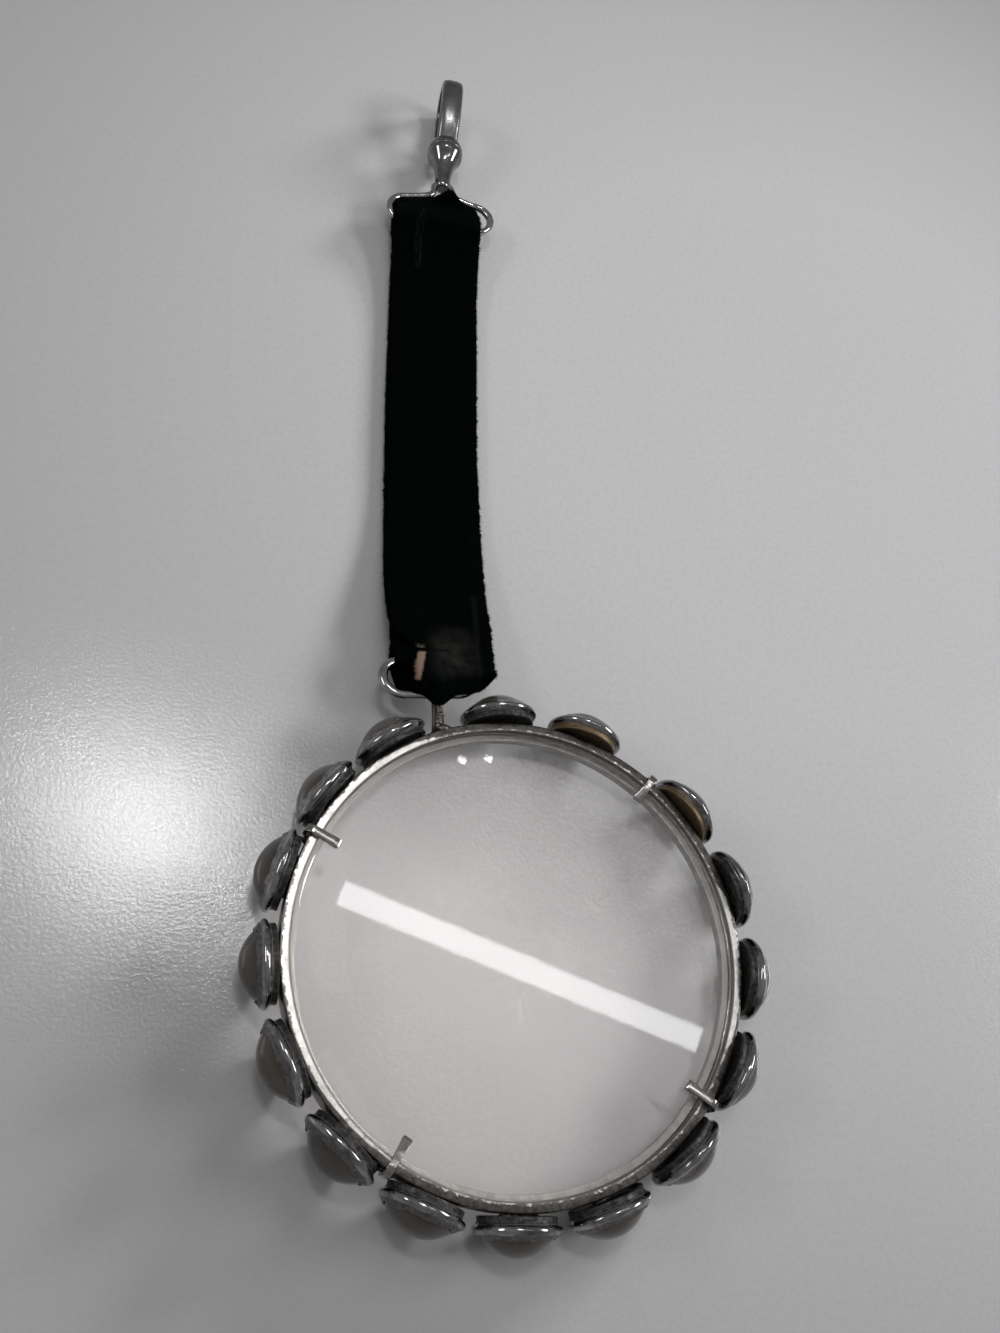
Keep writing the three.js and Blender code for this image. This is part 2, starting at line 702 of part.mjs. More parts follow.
function hookGate() {
  const reach = gateReach();
  const at = ([along, height]) => [pinAlong + along, -pinDrop + height];
  const root = arcPoints(0, 0, gateRoot, quarterTurn, quarterTurn * 3, pinSides / 2);
  const outline = [
    ...root,
    [reach - gateTip, -gateTip],
    [reach, 0],
    [reach, gateRoot - gateTongueHeight - gateTongue / 2],
    [reach + gateTongue, gateRoot - gateTongueHeight],
    [reach + gateTongue / 2, gateRoot],
    [reach - gateWall, gateRoot],
    [reach - gateWall * 3, gateTip],
    [gateRoot * 2, gateTip],
  ].map(at);
  const inside = hookWidth - gateWall * 2;
  const rootSpan = lugRadius + runningGap * 3;
  const rootCut = [[-gateRoot * 2, -gateRoot * 2], [rootSpan, -gateRoot * 2],
    [rootSpan, gateRoot * 2], [-gateRoot * 2, gateRoot * 2]].map(at);
  const channel = [[0, -gateTip + gateWall / 2], [reach - gateWall * 2, -gateTip / 2 + gateWall / 2],
    [reach - gateWall * 2, gateRoot * 2], [0, gateRoot * 2]].map(at);
  const bore = crossBar(pinAlong, -pinDrop, pinRadius + runningGap / 2, hookWidth * 2);
  const body = combined(
    [crossPlate(outline, hookWidth)],
    [crossPlate(rootCut, inside), crossPlate(channel, inside), bore],
  );
  return piece('hook_gate', body, darkSteel);
}

function gatePin() {
  const pin = crossBar(pinAlong, -pinDrop, pinRadius, hookWidth - runningGap, 0, pinSides);
  return piece('gate_pin', pin, steel);
}

// Leaf spring: rooted behind the rivet, it presses on the floor of the gate's channel
function gateSpring() {
  const reach = gateReach();
  const path = new THREE.CatmullRomCurve3([
    new THREE.Vector3(0, capTop + setGap * 2, -headRadius - leafWidth / 2),
    new THREE.Vector3(0, pinAlong + setGap, -pinDrop + lugRadius + leafThickness * 1.5),
    new THREE.Vector3(0, pinAlong + reach / 2, -pinDrop + leafThickness),
    new THREE.Vector3(0, pinAlong + reach - gateWall * 3, -pinDrop + gateWall / 2 + leafThickness / 2),
  ]);
  const half = leafWidth / 2;
  const thin = leafThickness / 2;
  const steps = 12;
  const section = polygon([[-half, -thin], [half, -thin], [half, thin], [-half, thin]]);
  return piece('gate_spring', swept(section, path, steps), steel);
}

// Assembly

function lensFrame() {
  const group = new THREE.Group();
  group.position.z = restHeight;
  group.add(lensRing(), lens(), stoneSettings(), claws(), frameEye());
  return group;
}

function linkGroup() {
  const group = new THREE.Group();
  group.position.set(linkMiddle, linkBar.y, restHeight);
  group.rotation.x = tilt;
  group.add(openLink());
  return group;
}

// The hook lies on its beak or on the gate's root, which sets the slope of the stirrup.
function swivelSlope() {
  const roll = radians(hookRoll);
  const outer = hookBend + hookThickness / 2;
  const beak = radians(beakAngle);
  const slopeFor = (along, drop) => {
    const lowest = drop * Math.cos(roll) + (hookWidth / 2) * Math.sin(Math.abs(roll));
    return Math.asin((lowest + tableGap - stirrupBarHeight) / along);
  };
  return Math.max(
    slopeFor(bendCentre + outer * Math.cos(beak), -outer * Math.sin(beak)),
    slopeFor(pinAlong, pinDrop + gateRoot),
  );
}

function turningHook() {
  const hook = new THREE.Group();
  hook.rotation.y = radians(hookRoll);
  hook.add(hookBody(), hookGate(), gatePin(), gateSpring());
  return hook;
}

function leaningShank() {
  const pivot = new THREE.Group();
  pivot.position.y = stirrupApex;
  pivot.rotation.z = -radians(shankLean);
  const shank = new THREE.Group();
  shank.position.y = -stirrupApex;
  shank.add(swivelShank(), turningHook());
  pivot.add(shank);
  return pivot;
}

function swivelGroup() {
  const group = new THREE.Group();
  group.position.set(shankX, highFold.x, stirrupBarHeight);
  group.rotation.x = swivelSlope();
  const wire = stirrup();
  wire.applyMatrix4(wireInGroup());
  group.add(wire, leaningShank());
  return group;
}

const part = new THREE.Group();
const strap = ribbonStrap();
part.add(lensFrame(), linkGroup(), strap, swivelGroup());
part.updateMatrixWorld(true);

const extent = new THREE.Box3().setFromObject(part, true);
const middle = extent.getCenter(new THREE.Vector3());
part.position.set(-middle.x, -middle.y, -extent.min.z);

export default part;
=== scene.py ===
"""Looks for the chatelaine magnifying glass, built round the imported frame.

Lengths inside the helpers are millimetres in a local frame; every frame matrix turns them
into metres in the row frame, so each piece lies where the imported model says.
"""
import json
import random
from contextlib import contextmanager
from math import asin, atan2, cos, exp, hypot, pi, radians, sin, sqrt

import bmesh
import bpy
from mathutils import Matrix, Vector, noise

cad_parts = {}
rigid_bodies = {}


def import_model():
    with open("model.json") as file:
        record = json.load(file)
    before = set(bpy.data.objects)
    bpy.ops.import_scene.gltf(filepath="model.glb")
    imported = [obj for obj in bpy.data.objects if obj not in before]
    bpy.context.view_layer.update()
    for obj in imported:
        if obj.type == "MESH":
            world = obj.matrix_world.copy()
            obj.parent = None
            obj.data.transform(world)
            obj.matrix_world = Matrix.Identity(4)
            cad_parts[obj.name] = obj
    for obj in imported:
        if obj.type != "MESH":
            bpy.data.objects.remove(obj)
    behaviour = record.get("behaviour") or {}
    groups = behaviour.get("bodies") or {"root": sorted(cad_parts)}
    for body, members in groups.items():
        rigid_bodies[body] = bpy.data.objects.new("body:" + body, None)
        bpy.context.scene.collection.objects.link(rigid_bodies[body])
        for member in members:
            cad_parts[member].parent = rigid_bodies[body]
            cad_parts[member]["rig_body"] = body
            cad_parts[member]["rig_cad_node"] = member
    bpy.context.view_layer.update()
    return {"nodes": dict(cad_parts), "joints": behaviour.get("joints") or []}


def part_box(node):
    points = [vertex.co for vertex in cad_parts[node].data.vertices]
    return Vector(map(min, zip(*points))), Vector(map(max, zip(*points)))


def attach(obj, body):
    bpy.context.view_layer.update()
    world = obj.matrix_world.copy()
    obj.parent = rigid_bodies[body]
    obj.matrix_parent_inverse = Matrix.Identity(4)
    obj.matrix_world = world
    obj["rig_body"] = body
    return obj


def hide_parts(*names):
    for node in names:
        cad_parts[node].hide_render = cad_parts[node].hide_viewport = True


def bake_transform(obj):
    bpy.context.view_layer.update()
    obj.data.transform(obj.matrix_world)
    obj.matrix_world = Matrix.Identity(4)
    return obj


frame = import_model()
JOINTS = {j["name"]: j for j in frame["joints"]}
MM = 0.001


def vec(x, y, z=0):
    return Vector((x, y, z))


X, Y, Z = vec(1, 0, 0), vec(0, 1, 0), vec(0, 0, 1)
# Without a seed, noise_vector differs from run to run
noise.seed_set(1)


# Frames

def standing(origin, x, y, z):
    return Matrix.Translation(origin) @ Matrix((x, y, z)).transposed().to_4x4()


def basis(origin, x, y, z):
    """Local millimetres to metres in the row frame."""
    return standing(origin, x, y, z) @ Matrix.Scale(MM, 4)


def joint_pos(name):
    return Vector(JOINTS[name]["pos_m"])


def joint_axis(name):
    return Vector(JOINTS[name]["axis"]).normalized()


low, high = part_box("lens_ring")
LENS = basis((low + high) / 2, X, Y, Z)
LENS_AXIS = LENS @ Matrix.Rotation(pi / 2, 4, "X")

link_up = (joint_pos("strap_swing") - joint_pos("link_pitch")).normalized()
LINK = basis(joint_pos("link_pitch"), X, link_up, X.cross(link_up))

wire_x = joint_axis("stirrup_swing")
shank_y = joint_axis("hook_swivel")
swivel_z = wire_x.cross(shank_y).normalized()
WIRE = basis(joint_pos("stirrup_swing"), wire_x, swivel_z.cross(wire_x), swivel_z)
SHANK = basis(joint_pos("hook_swivel"), shank_y.cross(swivel_z), shank_y, swivel_z)
hook_x = joint_axis("gate_open")
HOOK = basis(joint_pos("hook_swivel"), hook_x, shank_y, hook_x.cross(shank_y))


# Mesh tools

def linked(name, data):
    obj = bpy.data.objects.new(name, data)
    bpy.context.scene.collection.objects.link(obj)
    return obj


def smoothed(obj):
    obj.data.polygons.foreach_set("use_smooth", [True] * len(obj.data.polygons))
    return obj


def mesh_object(name, verts, faces):
    mesh = bpy.data.meshes.new(name)
    mesh.from_pydata([tuple(v) for v in verts], [], [tuple(f) for f in faces])
    mesh.update()
    return smoothed(linked(name, mesh))


@contextmanager
def edited(mesh):
    """Opens a mesh for editing and writes it back at the end."""
    bm = bmesh.new()
    bm.from_mesh(mesh)
    yield bm
    bm.to_mesh(mesh)
    bm.free()


def outward(obj):
    """Merges doubled points and turns every face outwards."""
    with edited(obj.data) as bm:
        bmesh.ops.remove_doubles(bm, verts=bm.verts, dist=1e-8)
        bmesh.ops.recalc_face_normals(bm, faces=bm.faces)
    return obj


def sharpen(obj, degrees=38):
    """Marks the edges that turn more than the angle as sharp, so that flats stay flat."""
    limit = radians(degrees)
    with edited(obj.data) as bm:
        for e in bm.edges:
            e.smooth = len(e.link_faces) == 2 and e.calc_face_angle(0) < limit
    return obj


def applied(obj):
    """Turns the object's modifiers into its mesh."""
    graph = bpy.context.evaluated_depsgraph_get()
    mesh = bpy.data.meshes.new_from_object(obj.evaluated_get(graph))
    obj.modifiers.clear()
    obj.data = mesh
    return obj


def carved(obj, *steps):
    """Adds or cuts away other objects, which are used up."""
    for kind, other in steps:
        step = obj.modifiers.new(kind, "BOOLEAN")
        step.operation, step.object, step.solver = kind, other, "EXACT"
    applied(obj)
    for _, other in steps:
        bpy.data.objects.remove(other)
    return smoothed(obj)


def unwrapped(obj, uvs):
    """Gives every face corner the U and V of its point."""
    layer = obj.data.uv_layers.new(name="UVMap")
    for loop in obj.data.loops:
        layer.data[loop.index].uv = uvs[loop.vertex_index]
    return obj


def uneven(x, y, z):
    """A smooth random height at a place."""
    return noise.noise(vec(x, y, z))


def around(v, waves, shift=0, level=0):
    """A smooth random height that runs round the local Y axis."""
    a = atan2(v.z, v.x)
    return uneven(cos(a) * waves + shift, sin(a) * waves, level)


def rounded(points, closed=False, steps=4):
    """Corners (x, y, reach) become short curves; a missing reach leaves the corner sharp."""
    out = []
    n = len(points)
    for i, p in enumerate(points):
        reach = p[2] if len(p) > 2 else 0
        if reach <= 0 or (not closed and i in (0, n - 1)):
            out.append((p[0], p[1]))
            continue
        here = Vector(p[:2])
        before = Vector(points[i - 1][:2]) - here
        after = Vector(points[(i + 1) % n][:2]) - here
        cut = min(reach, before.length * 0.46, after.length * 0.46)
        a, b = here + before.normalized() * cut, here + after.normalized() * cut
        for k in range(steps + 1):
            t = k / steps
            q = a * (1 - t) ** 2 + here * 2 * t * (1 - t) + b * t ** 2
            out.append((q.x, q.y))
    return out


def lathe(name, profile, place, segs=96, closed=False, warp=None, zero=0.0):
    """Turns a profile of (radius, along) about the local Y axis; V holds the centimetres along it."""
    verts, faces, rings = [], [], []
    for radius, along in profile:
        if radius < 1e-6:
            rings.append([len(verts)])
            verts.append((0, along, 0))
            continue
        rings.append(list(range(len(verts), len(verts) + segs)))
        for k in range(segs):
            a = 2 * pi * k / segs
            verts.append((radius * cos(a), along, radius * sin(a)))
    pairs = list(zip(rings, rings[1:]))
    if closed:
        pairs.append((rings[-1], rings[0]))
    # A row of one point, on the axis, gives its faces only three corners
    for one, two in pairs:
        for k in range(segs):
            corners = [row[m % len(row)] for row, m in ((one, k), (two, k), (two, k + 1), (one, k + 1))]
            faces.append(tuple(dict.fromkeys(corners)))
    bands = [(v[1] - zero) / 10 for v in verts]
    if warp:
        verts = [warp(Vector(v)) for v in verts]
    obj = mesh_object(name, [place @ Vector(v) for v in verts], faces)
    unwrapped(obj, [(hypot(v[0], v[2]) / 10, band) for v, band in zip(verts, bands)])
    return sharpen(outward(obj))


def tangents(line):
    """The direction of a line of points at each of them."""
    last = len(line) - 1
    return [(line[min(i + 1, last)] - line[max(i - 1, 0)]).normalized() for i in range(last + 1)]


def frames_along(path, up):
    """Two directions across the path at each point, carried along it without twist."""
    directions = tangents(path)
    side = (up - directions[0] * up.dot(directions[0])).normalized()
    out = []
    for i, t in enumerate(directions):
        if i:
            side = directions[i - 1].rotation_difference(t) @ side
            side = (side - t * side.dot(t)).normalized()
        out.append((side, t.cross(side)))
    return out


def strip_faces(rows, count):
    """Faces between closed rows of count points, and a cap at either end."""
    faces = []
    for i in range(rows - 1):
        for k in range(count):
            m = (k + 1) % count
            faces.append((i * count + k, i * count + m, (i + 1) * count + m, (i + 1) * count + k))
    return faces + [tuple(range(count)), tuple(range((rows - 1) * count, rows * count))]


def sweep(name, path, section, place, up=Z, warp=None):
    """section(share) gives the (side, across) points of the outline at a share of the path."""
    rows = [[p + side * u + across * v for u, v in section(i / (len(path) - 1))]
            for i, (p, (side, across)) in enumerate(zip(path, frames_along(path, up)))]
    verts = [warp(v) if warp else v for row in rows for v in row]
    obj = mesh_object(name, [place @ v for v in verts], strip_faces(len(rows), len(rows[0])))
    return sharpen(outward(obj))


def resample(points, step):
    """The same line with points at even steps."""
    out = [points[0].copy()]
    left = step
    for a, b in zip(points, points[1:]):
        length = (b - a).length
        done = 0.0
        while length - done >= left:
            done += left
            out.append(a.lerp(b, done / length))
            left = step
        left -= length - done
    if (out[-1] - points[-1]).length > step * 0.3:
        out.append(points[-1].copy())
    else:
        out[-1] = points[-1].copy()
    return out


def catmull(points, per):
    """A smooth curve through the points."""
    pts = [points[0] * 2 - points[1]] + list(points) + [points[-1] * 2 - points[-2]]
    out = []
    for i in range(1, len(pts) - 2):
        a, b, c, d = pts[i - 1:i + 3]
        for k in range(per):
            t = k / per
            out.append(0.5 * ((2 * b) + (c - a) * t + (2 * a - 5 * b + 4 * c - d) * t * t
                              + (3 * b - a - 3 * c + d) * t ** 3))
    out.append(pts[-2].copy())
    return out


def arc(centre, u, v, radius, start, end, steps):
    return [centre + u * (radius * cos(a)) + v * (radius * sin(a))
            for a in (start + (end - start) * i / steps for i in range(steps + 1))]


def joined(*runs):
    """Runs of points put end to end, without doubled ones."""
    out = []
    for run in runs:
        for p in run:
            if not out or (out[-1] - p).length > 1e-4:
                out.append(p)
    return out


def disc(radius, sides):
    return [(radius * cos(2 * pi * k / sides), radius * sin(2 * pi * k / sides))
            for k in range(sides)]


def wire(name, path, radius, place, step=0.12, sides=20, soften=0.12, wobble=0.0, seed=0, thick=()):
    """A round wire with softened cut ends, a little unevenness and thicker places (share, width, more)."""
    path = resample(path, step)
    total = step * (len(path) - 1)

    def section(share):
        s = share * total
        near = min(s, total - s)
        k = 1 - 0.16 * max(0, 1 - near / soften) ** 2
        k += wobble * uneven(s * 0.7, seed * 3.1, 0)
        k += sum(more * exp(-((share - at) / width) ** 2) for at, width, more in thick)
        return disc(radius * k, sides)

    return sweep(name, path, section, place)


def wobbled(amount, scale, seed):
    """A warp that makes a shape a little uneven."""
    shift = vec(seed, seed * 1.7, -seed)

    def warp(v):
        return v + noise.noise_vector(v * scale + shift) * amount
    return warp


# Node tools

class Nodes:
    """Short ways to add and link the shader nodes of a new material or world."""

    def __init__(self, owner):
        owner.use_nodes = True
        self.owner, self.tree = owner, owner.node_tree
        self.tree.nodes.clear()

    def add(self, kind, **inputs):
        """Adds a node. An input is named with _ for a space, or by i and its number."""
        node = self.tree.nodes.new("ShaderNode" + kind)
        for key, value in inputs.items():
            self.put(node, key, value)
        return node

    def put(self, node, key, value):
        socket = node.inputs[int(key[1:]) if key[1:].isdigit() else key.replace("_", " ")]
        if isinstance(value, bpy.types.NodeSocket):
            self.tree.links.new(value, socket)
        else:
            socket.default_value = value

    def coords(self, kind="Object"):
        return self.add("TexCoord").outputs[kind]

    def split(self, vector):
        """The X, Y and Z of a vector."""
        return self.add("SeparateXYZ", Vector=vector).outputs

    def stretched(self, vector, scale, turn=(0, 0, 0)):
        node = self.add("Mapping", Vector=vector, Scale=scale, Rotation=turn)
        return node.outputs[0]

    def noise(self, vector, scale, detail=4, rough=0.55, distortion=0.0):
        node = self.add("TexNoise", Vector=vector, Scale=scale, Detail=detail,
                        Roughness=rough, Distortion=distortion)
        return node.outputs["Fac"]

    def voronoi(self, vector, scale):
        return self.add("TexVoronoi", Vector=vector, Scale=scale).outputs["Distance"]

    def ramp(self, value, stops):
        node = self.add("ValToRGB", Fac=value)
        while len(node.color_ramp.elements) < len(stops):
            node.color_ramp.elements.new(0.5)
        for element, (at, colour) in zip(node.color_ramp.elements, stops):
            element.position = at
            element.color = (*colour, 1) if hasattr(colour, "__len__") else (colour, colour, colour, 1)
        return node.outputs[0]

    def fit(self, value, a, b, c=0, d=1):
        """Maps a..b to c..d and stays between c and d."""
        node = self.add("MapRange", i0=value, i1=a, i2=b, i3=c, i4=d)
        node.clamp = True
        return node.outputs[0]

    def math(self, kind, a, b=0.0):
        node = self.add("Math", i0=a, i1=b)
        node.operation = kind
        return node.outputs[0]

    def plus(self, a, b):
        return self.math("ADD", a, b)

    def minus(self, a, b):
        return self.math("SUBTRACT", a, b)

    def times(self, a, b):
        return self.math("MULTIPLY", a, b)

    def mix(self, fac, a, b):
        node = self.add("Mix")
        node.data_type = "RGBA"
        self.put(node, "i0", fac)
        for i, v in ((6, a), (7, b)):
            if not isinstance(v, bpy.types.NodeSocket):
                v = (*v, 1) if hasattr(v, "__len__") else (v, v, v, 1)
            self.put(node, f"i{i}", v)
        return node.outputs[2]

    def bump(self, height, strength, distance):
        return self.add("Bump", Height=height, Strength=strength, Distance=distance).outputs[0]

    def finish(self, **inputs):
        """Ends a material with the usual shader and returns it."""
        shader = self.add("BsdfPrincipled", **inputs)
        self.add("OutputMaterial", i0=shader.outputs[0])
        return self.owner


def metal(name, bright, dark, tint, rough, pits, scratch=0.25, tarnish=0.45):
    """Worn metal: cloudy tarnish, fine scratches, small pits and brighter rubbed edges."""
    n = Nodes(bpy.data.materials.new(name))
    at = n.coords()
    cloud = n.noise(at, 420, 5, 0.6, 0.4)
    film = n.noise(at, 1500, 4, 0.6)
    lines = n.noise(n.stretched(at, (1, 14, 1), (0.3, 0.5, 0.7)), 1900, 3, 0.6)
    speck = n.voronoi(at, 2600)
    edge = n.fit(n.add("NewGeometry").outputs["Pointiness"], 0.5, 0.56)
    dull = n.fit(cloud, 1 - tarnish - 0.12, 1 - tarnish + 0.2)
    colour = n.mix(dull, bright, dark)
    colour = n.mix(n.fit(film, 0.62, 0.78, 0, 0.55), colour, tint)
    colour = n.mix(n.times(edge, 0.6), colour, tuple(min(1, c * 1.25) for c in bright))
    colour = n.mix(n.fit(speck, 0.0, 0.09, pits, 0), colour, tuple(c * 0.3 for c in dark))
    gloss = n.fit(n.plus(cloud, n.times(lines, 0.35)), 0.45, 0.85, rough[0], rough[1])
    height = n.plus(n.times(lines, scratch), n.times(film, 0.5))
    normal = n.bump(height, 0.22, 0.00004)
    return n.finish(Base_Color=colour, Metallic=1.0, Roughness=gloss, Normal=normal)


def setting_material(name, neck, residue=0.0):
    """Dark polished silver: a neck darkened with painted shade where it meets the ring (brown residue instead in
    the gilt look), a glossy swelling and a dull, ragged lip, paler with residue.
    """
    n = Nodes(bpy.data.materials.new(name))
    at = n.coords()
    along = n.split(n.coords("UV"))["Y"]
    cloud = n.noise(at, 500, 5, 0.6, 0.4)
    fine = n.noise(at, 2100, 4, 0.65)
    ragged = n.plus(along, n.times(n.minus(cloud, 0.5), 0.05))
    lip = n.fit(ragged, 0.152, 0.160)
    low = n.fit(ragged, 0.062, 0.075, 1, 0)
    colour = n.mix(n.fit(cloud, 0.45, 0.7), (0.40, 0.39, 0.39), (0.12, 0.115, 0.12))
    colour = n.mix(n.fit(fine, 0.62, 0.8, 0, 0.6), colour, (0.10, 0.085, 0.07))
    # The neck next to the ring takes the neck colour: painted shade in the near-black looks, brown residue in the
    # gilt look
    colour = n.mix(n.times(low, n.fit(fine, 0.3, 0.6, 0.75, 1)), colour, neck)
    pale = tuple(c + 0.16 * residue for c in (0.20, 0.19, 0.185))
    dull = n.mix(n.fit(fine, 0.4, 0.7), pale, (0.09, 0.085, 0.08))
    colour = n.mix(lip, colour, dull)
    gloss = n.fit(cloud, 0.4, 0.75, 0.09, 0.2)
    gloss = n.mix(lip, gloss, n.fit(fine, 0.3, 0.7, 0.3, 0.5))
    gloss = n.mix(low, gloss, 0.5)
    rough = n.times(fine, n.fit(n.plus(lip, low), 0, 1, 0.12, 1.0))
    return n.finish(Base_Color=colour, Metallic=n.fit(low, 0, 1, 1, 0.75), Roughness=gloss,
                    Normal=n.bump(rough, 0.5, 0.00005))


# Distances from the lens's middle in metres: the bright band's outer edge where there is little solder (on the
# left the wide band is a painted reflection) and where there is much, and the ring's inner wall
RING_BRIGHT_REACH, RING_INNER, RING_WALL = 0.02468, 0.02412, 0.02402


def ring_material():
    """Silver bright on the inner part of the face, from wear and, where the band is wide on the left, painted
    reflection; dull solder outside it, and a dark inner wall.
    """
    n = Nodes(bpy.data.materials.new("ring_silver"))
    at = n.coords()
    place = n.split(at)
    dx = n.minus(place["X"], LENS.translation.x)
    dy = n.minus(place["Y"], LENS.translation.y)
    radius = n.math("SQRT", n.plus(n.times(dx, dx), n.times(dy, dy)))
    turn = n.plus(n.math("DIVIDE", n.math("ARCTAN2", dx, dy), 2 * pi), 0.5)
    cloud = n.noise(at, 300, 5, 0.65, 0.5)
    fine = n.noise(at, 1700, 4, 0.65)
    speck = n.voronoi(at, 2300)
    turn = n.plus(turn, n.times(n.minus(cloud, 0.5), 0.06))
    # How much solder there is round the ring; where there is little, on the left, the bright band is widened as a
    # painted reflection: 0 and 1 are the end away from the ribbon, a half is at the ribbon
    solder = n.ramp(turn, [
        (0.0, 0.9), (0.08, 0.7), (0.16, 0.3), (0.30, 0.05), (0.41, 0.15), (0.45, 0.85), (0.62, 1.0), (0.69, 0.85),
        (0.72, 0.12), (0.79, 0.1), (0.83, 0.7), (0.93, 0.95), (1.0, 0.9)])
    solder = n.fit(n.plus(solder, n.minus(fine, 0.5)), 0.25, 0.7)
    bright_band_to = n.plus(n.fit(solder, 0, 1, RING_BRIGHT_REACH, RING_INNER), n.times(n.minus(fine, 0.5), 0.0013))
    # The bright band: worn silver, widened on the left into a painted reflection
    rubbed = n.fit(n.minus(radius, bright_band_to), -0.00006, 0.00006, 1, 0)
    bright = n.mix(n.fit(cloud, 0.45, 0.75), (0.90, 0.88, 0.84), (0.55, 0.52, 0.48))
    bright = n.mix(n.fit(speck, 0.0, 0.16, 0.85, 0), bright, (0.08, 0.07, 0.06))
    blot = n.noise(at, 1100, 4, 0.7)
    grime = n.times(n.fit(blot, 0.44, 0.56), n.fit(solder, 0.2, 1, 0.15, 0.85))
    bright = n.mix(grime, bright, (0.13, 0.12, 0.11))
    dull = n.mix(n.fit(fine, 0.35, 0.65), (0.15, 0.14, 0.13), (0.05, 0.045, 0.04))
    colour = n.mix(rubbed, dull, bright)
    wall = n.mix(cloud, (0.13, 0.125, 0.12), (0.24, 0.23, 0.22))
    inner = n.fit(radius, RING_WALL, RING_INNER, 1, 0)
    colour = n.mix(n.times(inner, 0.93), colour, wall)
    gloss = n.mix(solder, n.fit(cloud, 0.4, 0.8, 0.30, 0.42), n.fit(fine, 0.3, 0.7, 0.3, 0.5))
    gloss = n.mix(inner, gloss, 0.6)
    height = n.plus(n.times(fine, n.fit(solder, 0, 1, 0.35, 1.0)), n.times(cloud, 0.5))
    return n.finish(Base_Color=colour, Metallic=1.0, Roughness=gloss, Normal=n.bump(height, 0.35, 0.00006))


# Near-black painted shade for the cups' necks, where they meet the ring
PAINTED_NECK_SHADE = (0.022, 0.020, 0.019)
SETTING = setting_material("setting_silver", PAINTED_NECK_SHADE)
CLOUDED = setting_material("setting_clouded", PAINTED_NECK_SHADE, residue=1.0)
GILT = setting_material("setting_residue", (0.15, 0.105, 0.052))
SETTING_LOOKS = {1: CLOUDED, 2: GILT, 3: GILT, 14: CLOUDED, 15: CLOUDED, 16: CLOUDED}
RING = ring_material()
SOLDER = metal("solder", (0.13, 0.12, 0.11), (0.035, 0.031, 0.027), (0.08, 0.055, 0.035),
               rough=(0.28, 0.5), pits=0.7, scratch=0.1)
CLAW = metal("claw_silver", (0.32, 0.31, 0.30), (0.11, 0.105, 0.10), (0.20, 0.18, 0.15),
             rough=(0.10, 0.2), pits=0.15, scratch=0.1)
WIRE_STEEL = metal("polished_steel", (0.48, 0.47, 0.48), (0.15, 0.145, 0.15), (0.24, 0.21, 0.20),
                   rough=(0.06, 0.16), pits=0.1, tarnish=0.5)
SHANK_STEEL = metal("dark_chrome", (0.27, 0.26, 0.27), (0.12, 0.115, 0.12), (0.17, 0.15, 0.14),
                    rough=(0.05, 0.12), pits=0.05, tarnish=0.4)
HOOK_STEEL = metal("dark_steel", (0.25, 0.24, 0.245), (0.11, 0.105, 0.11), (0.15, 0.13, 0.12),
                   rough=(0.2, 0.34), pits=0.15)


def stone_material():
    """Taupe-grey stone with a cloudy depth and a glossy surface."""
    n = Nodes(bpy.data.materials.new("stone"))
    at = n.coords()
    cloud = n.noise(at, 260, 5, 0.6, 0.8)
    veil = n.noise(at, 900, 4, 0.65)
    colour = n.mix(n.fit(cloud, 0.35, 0.7), (0.056, 0.047, 0.034), (0.030, 0.026, 0.020))
    colour = n.mix(n.fit(veil, 0.62, 0.8, 0, 0.35), colour, (0.10, 0.09, 0.07))
    gloss = n.fit(veil, 0.4, 0.75, 0.07, 0.16)
    return n.finish(Base_Color=colour, Roughness=gloss, IOR=1.56, Coat_Weight=0.3, Coat_Roughness=0.05,
                    Subsurface_Weight=0.12, Subsurface_Radius=(0.0012, 0.001, 0.0007), Subsurface_Scale=0.6,
                    Normal=n.bump(veil, 0.05, 0.00003))


def glass_material(name, front):
    """Clear glass that lets the light straight through to the table, so that it isn't counted twice, and a little
    stronger: a painted pool of light on the table under the glass.

    The front has a thin film of grease. The back reflects only at a slant, without a second image of the lamps.
    """
    n = Nodes(bpy.data.materials.new(name))
    at = n.coords()
    gloss = n.fit(n.noise(at, 120, 5, 0.6, 0.5), 0.4, 0.8, 0.0, 0.02)
    smear = n.noise(n.stretched(at, (1, 9, 1), (0, 0, 0.5)), 700, 3, 0.6)
    colour = n.mix(n.fit(n.voronoi(at, 420), 0.0, 0.04, 0.4, 0), (1.0, 0.997, 0.99), (0.35, 0.34, 0.32))
    glass = n.add("BsdfPrincipled", Base_Color=colour, Roughness=gloss, IOR=1.5,
                  Transmission_Weight=1.0, Normal=n.bump(smear, 0.03, 0.00001))
    if front:
        grease = n.add("BsdfGlossy", Color=(1, 0.985, 0.96, 1), Roughness=0.27)
        spots = n.fit(n.noise(at, 1900, 2, 0.6), 0.40, 0.62, 0.55, 1.45)
        cover = n.times(spots, n.fit(n.noise(at, 60, 3, 0.6), 0.3, 0.7, 0.8, 1.2))
        cover = n.times(cover, n.fit(n.split(at)["X"], -0.022, 0.004, 0.02, 0.09))
        glass = n.add("MixShader", i0=cover, i1=glass.outputs[0], i2=grease.outputs[0])
    else:
        steep = n.add("Fresnel", IOR=1.5).outputs[0]
        n.put(glass, "Specular_Tint", n.mix(n.fit(steep, 0.15, 0.6), 0.0, 1.0))
    # Light passing through comes out slightly stronger: a painted pool of light on the table under the glass
    clear = n.add("BsdfTransparent", Color=(1.05, 1.04, 1.03, 1))
    path = n.add("LightPath")
    through = n.math("MAXIMUM", path.outputs["Is Shadow Ray"], path.outputs["Is Diffuse Ray"])
    pick = n.add("MixShader", i0=through, i1=glass.outputs[0], i2=clear.outputs[0])
    n.add("OutputMaterial", i0=pick.outputs[0])
    return n.owner


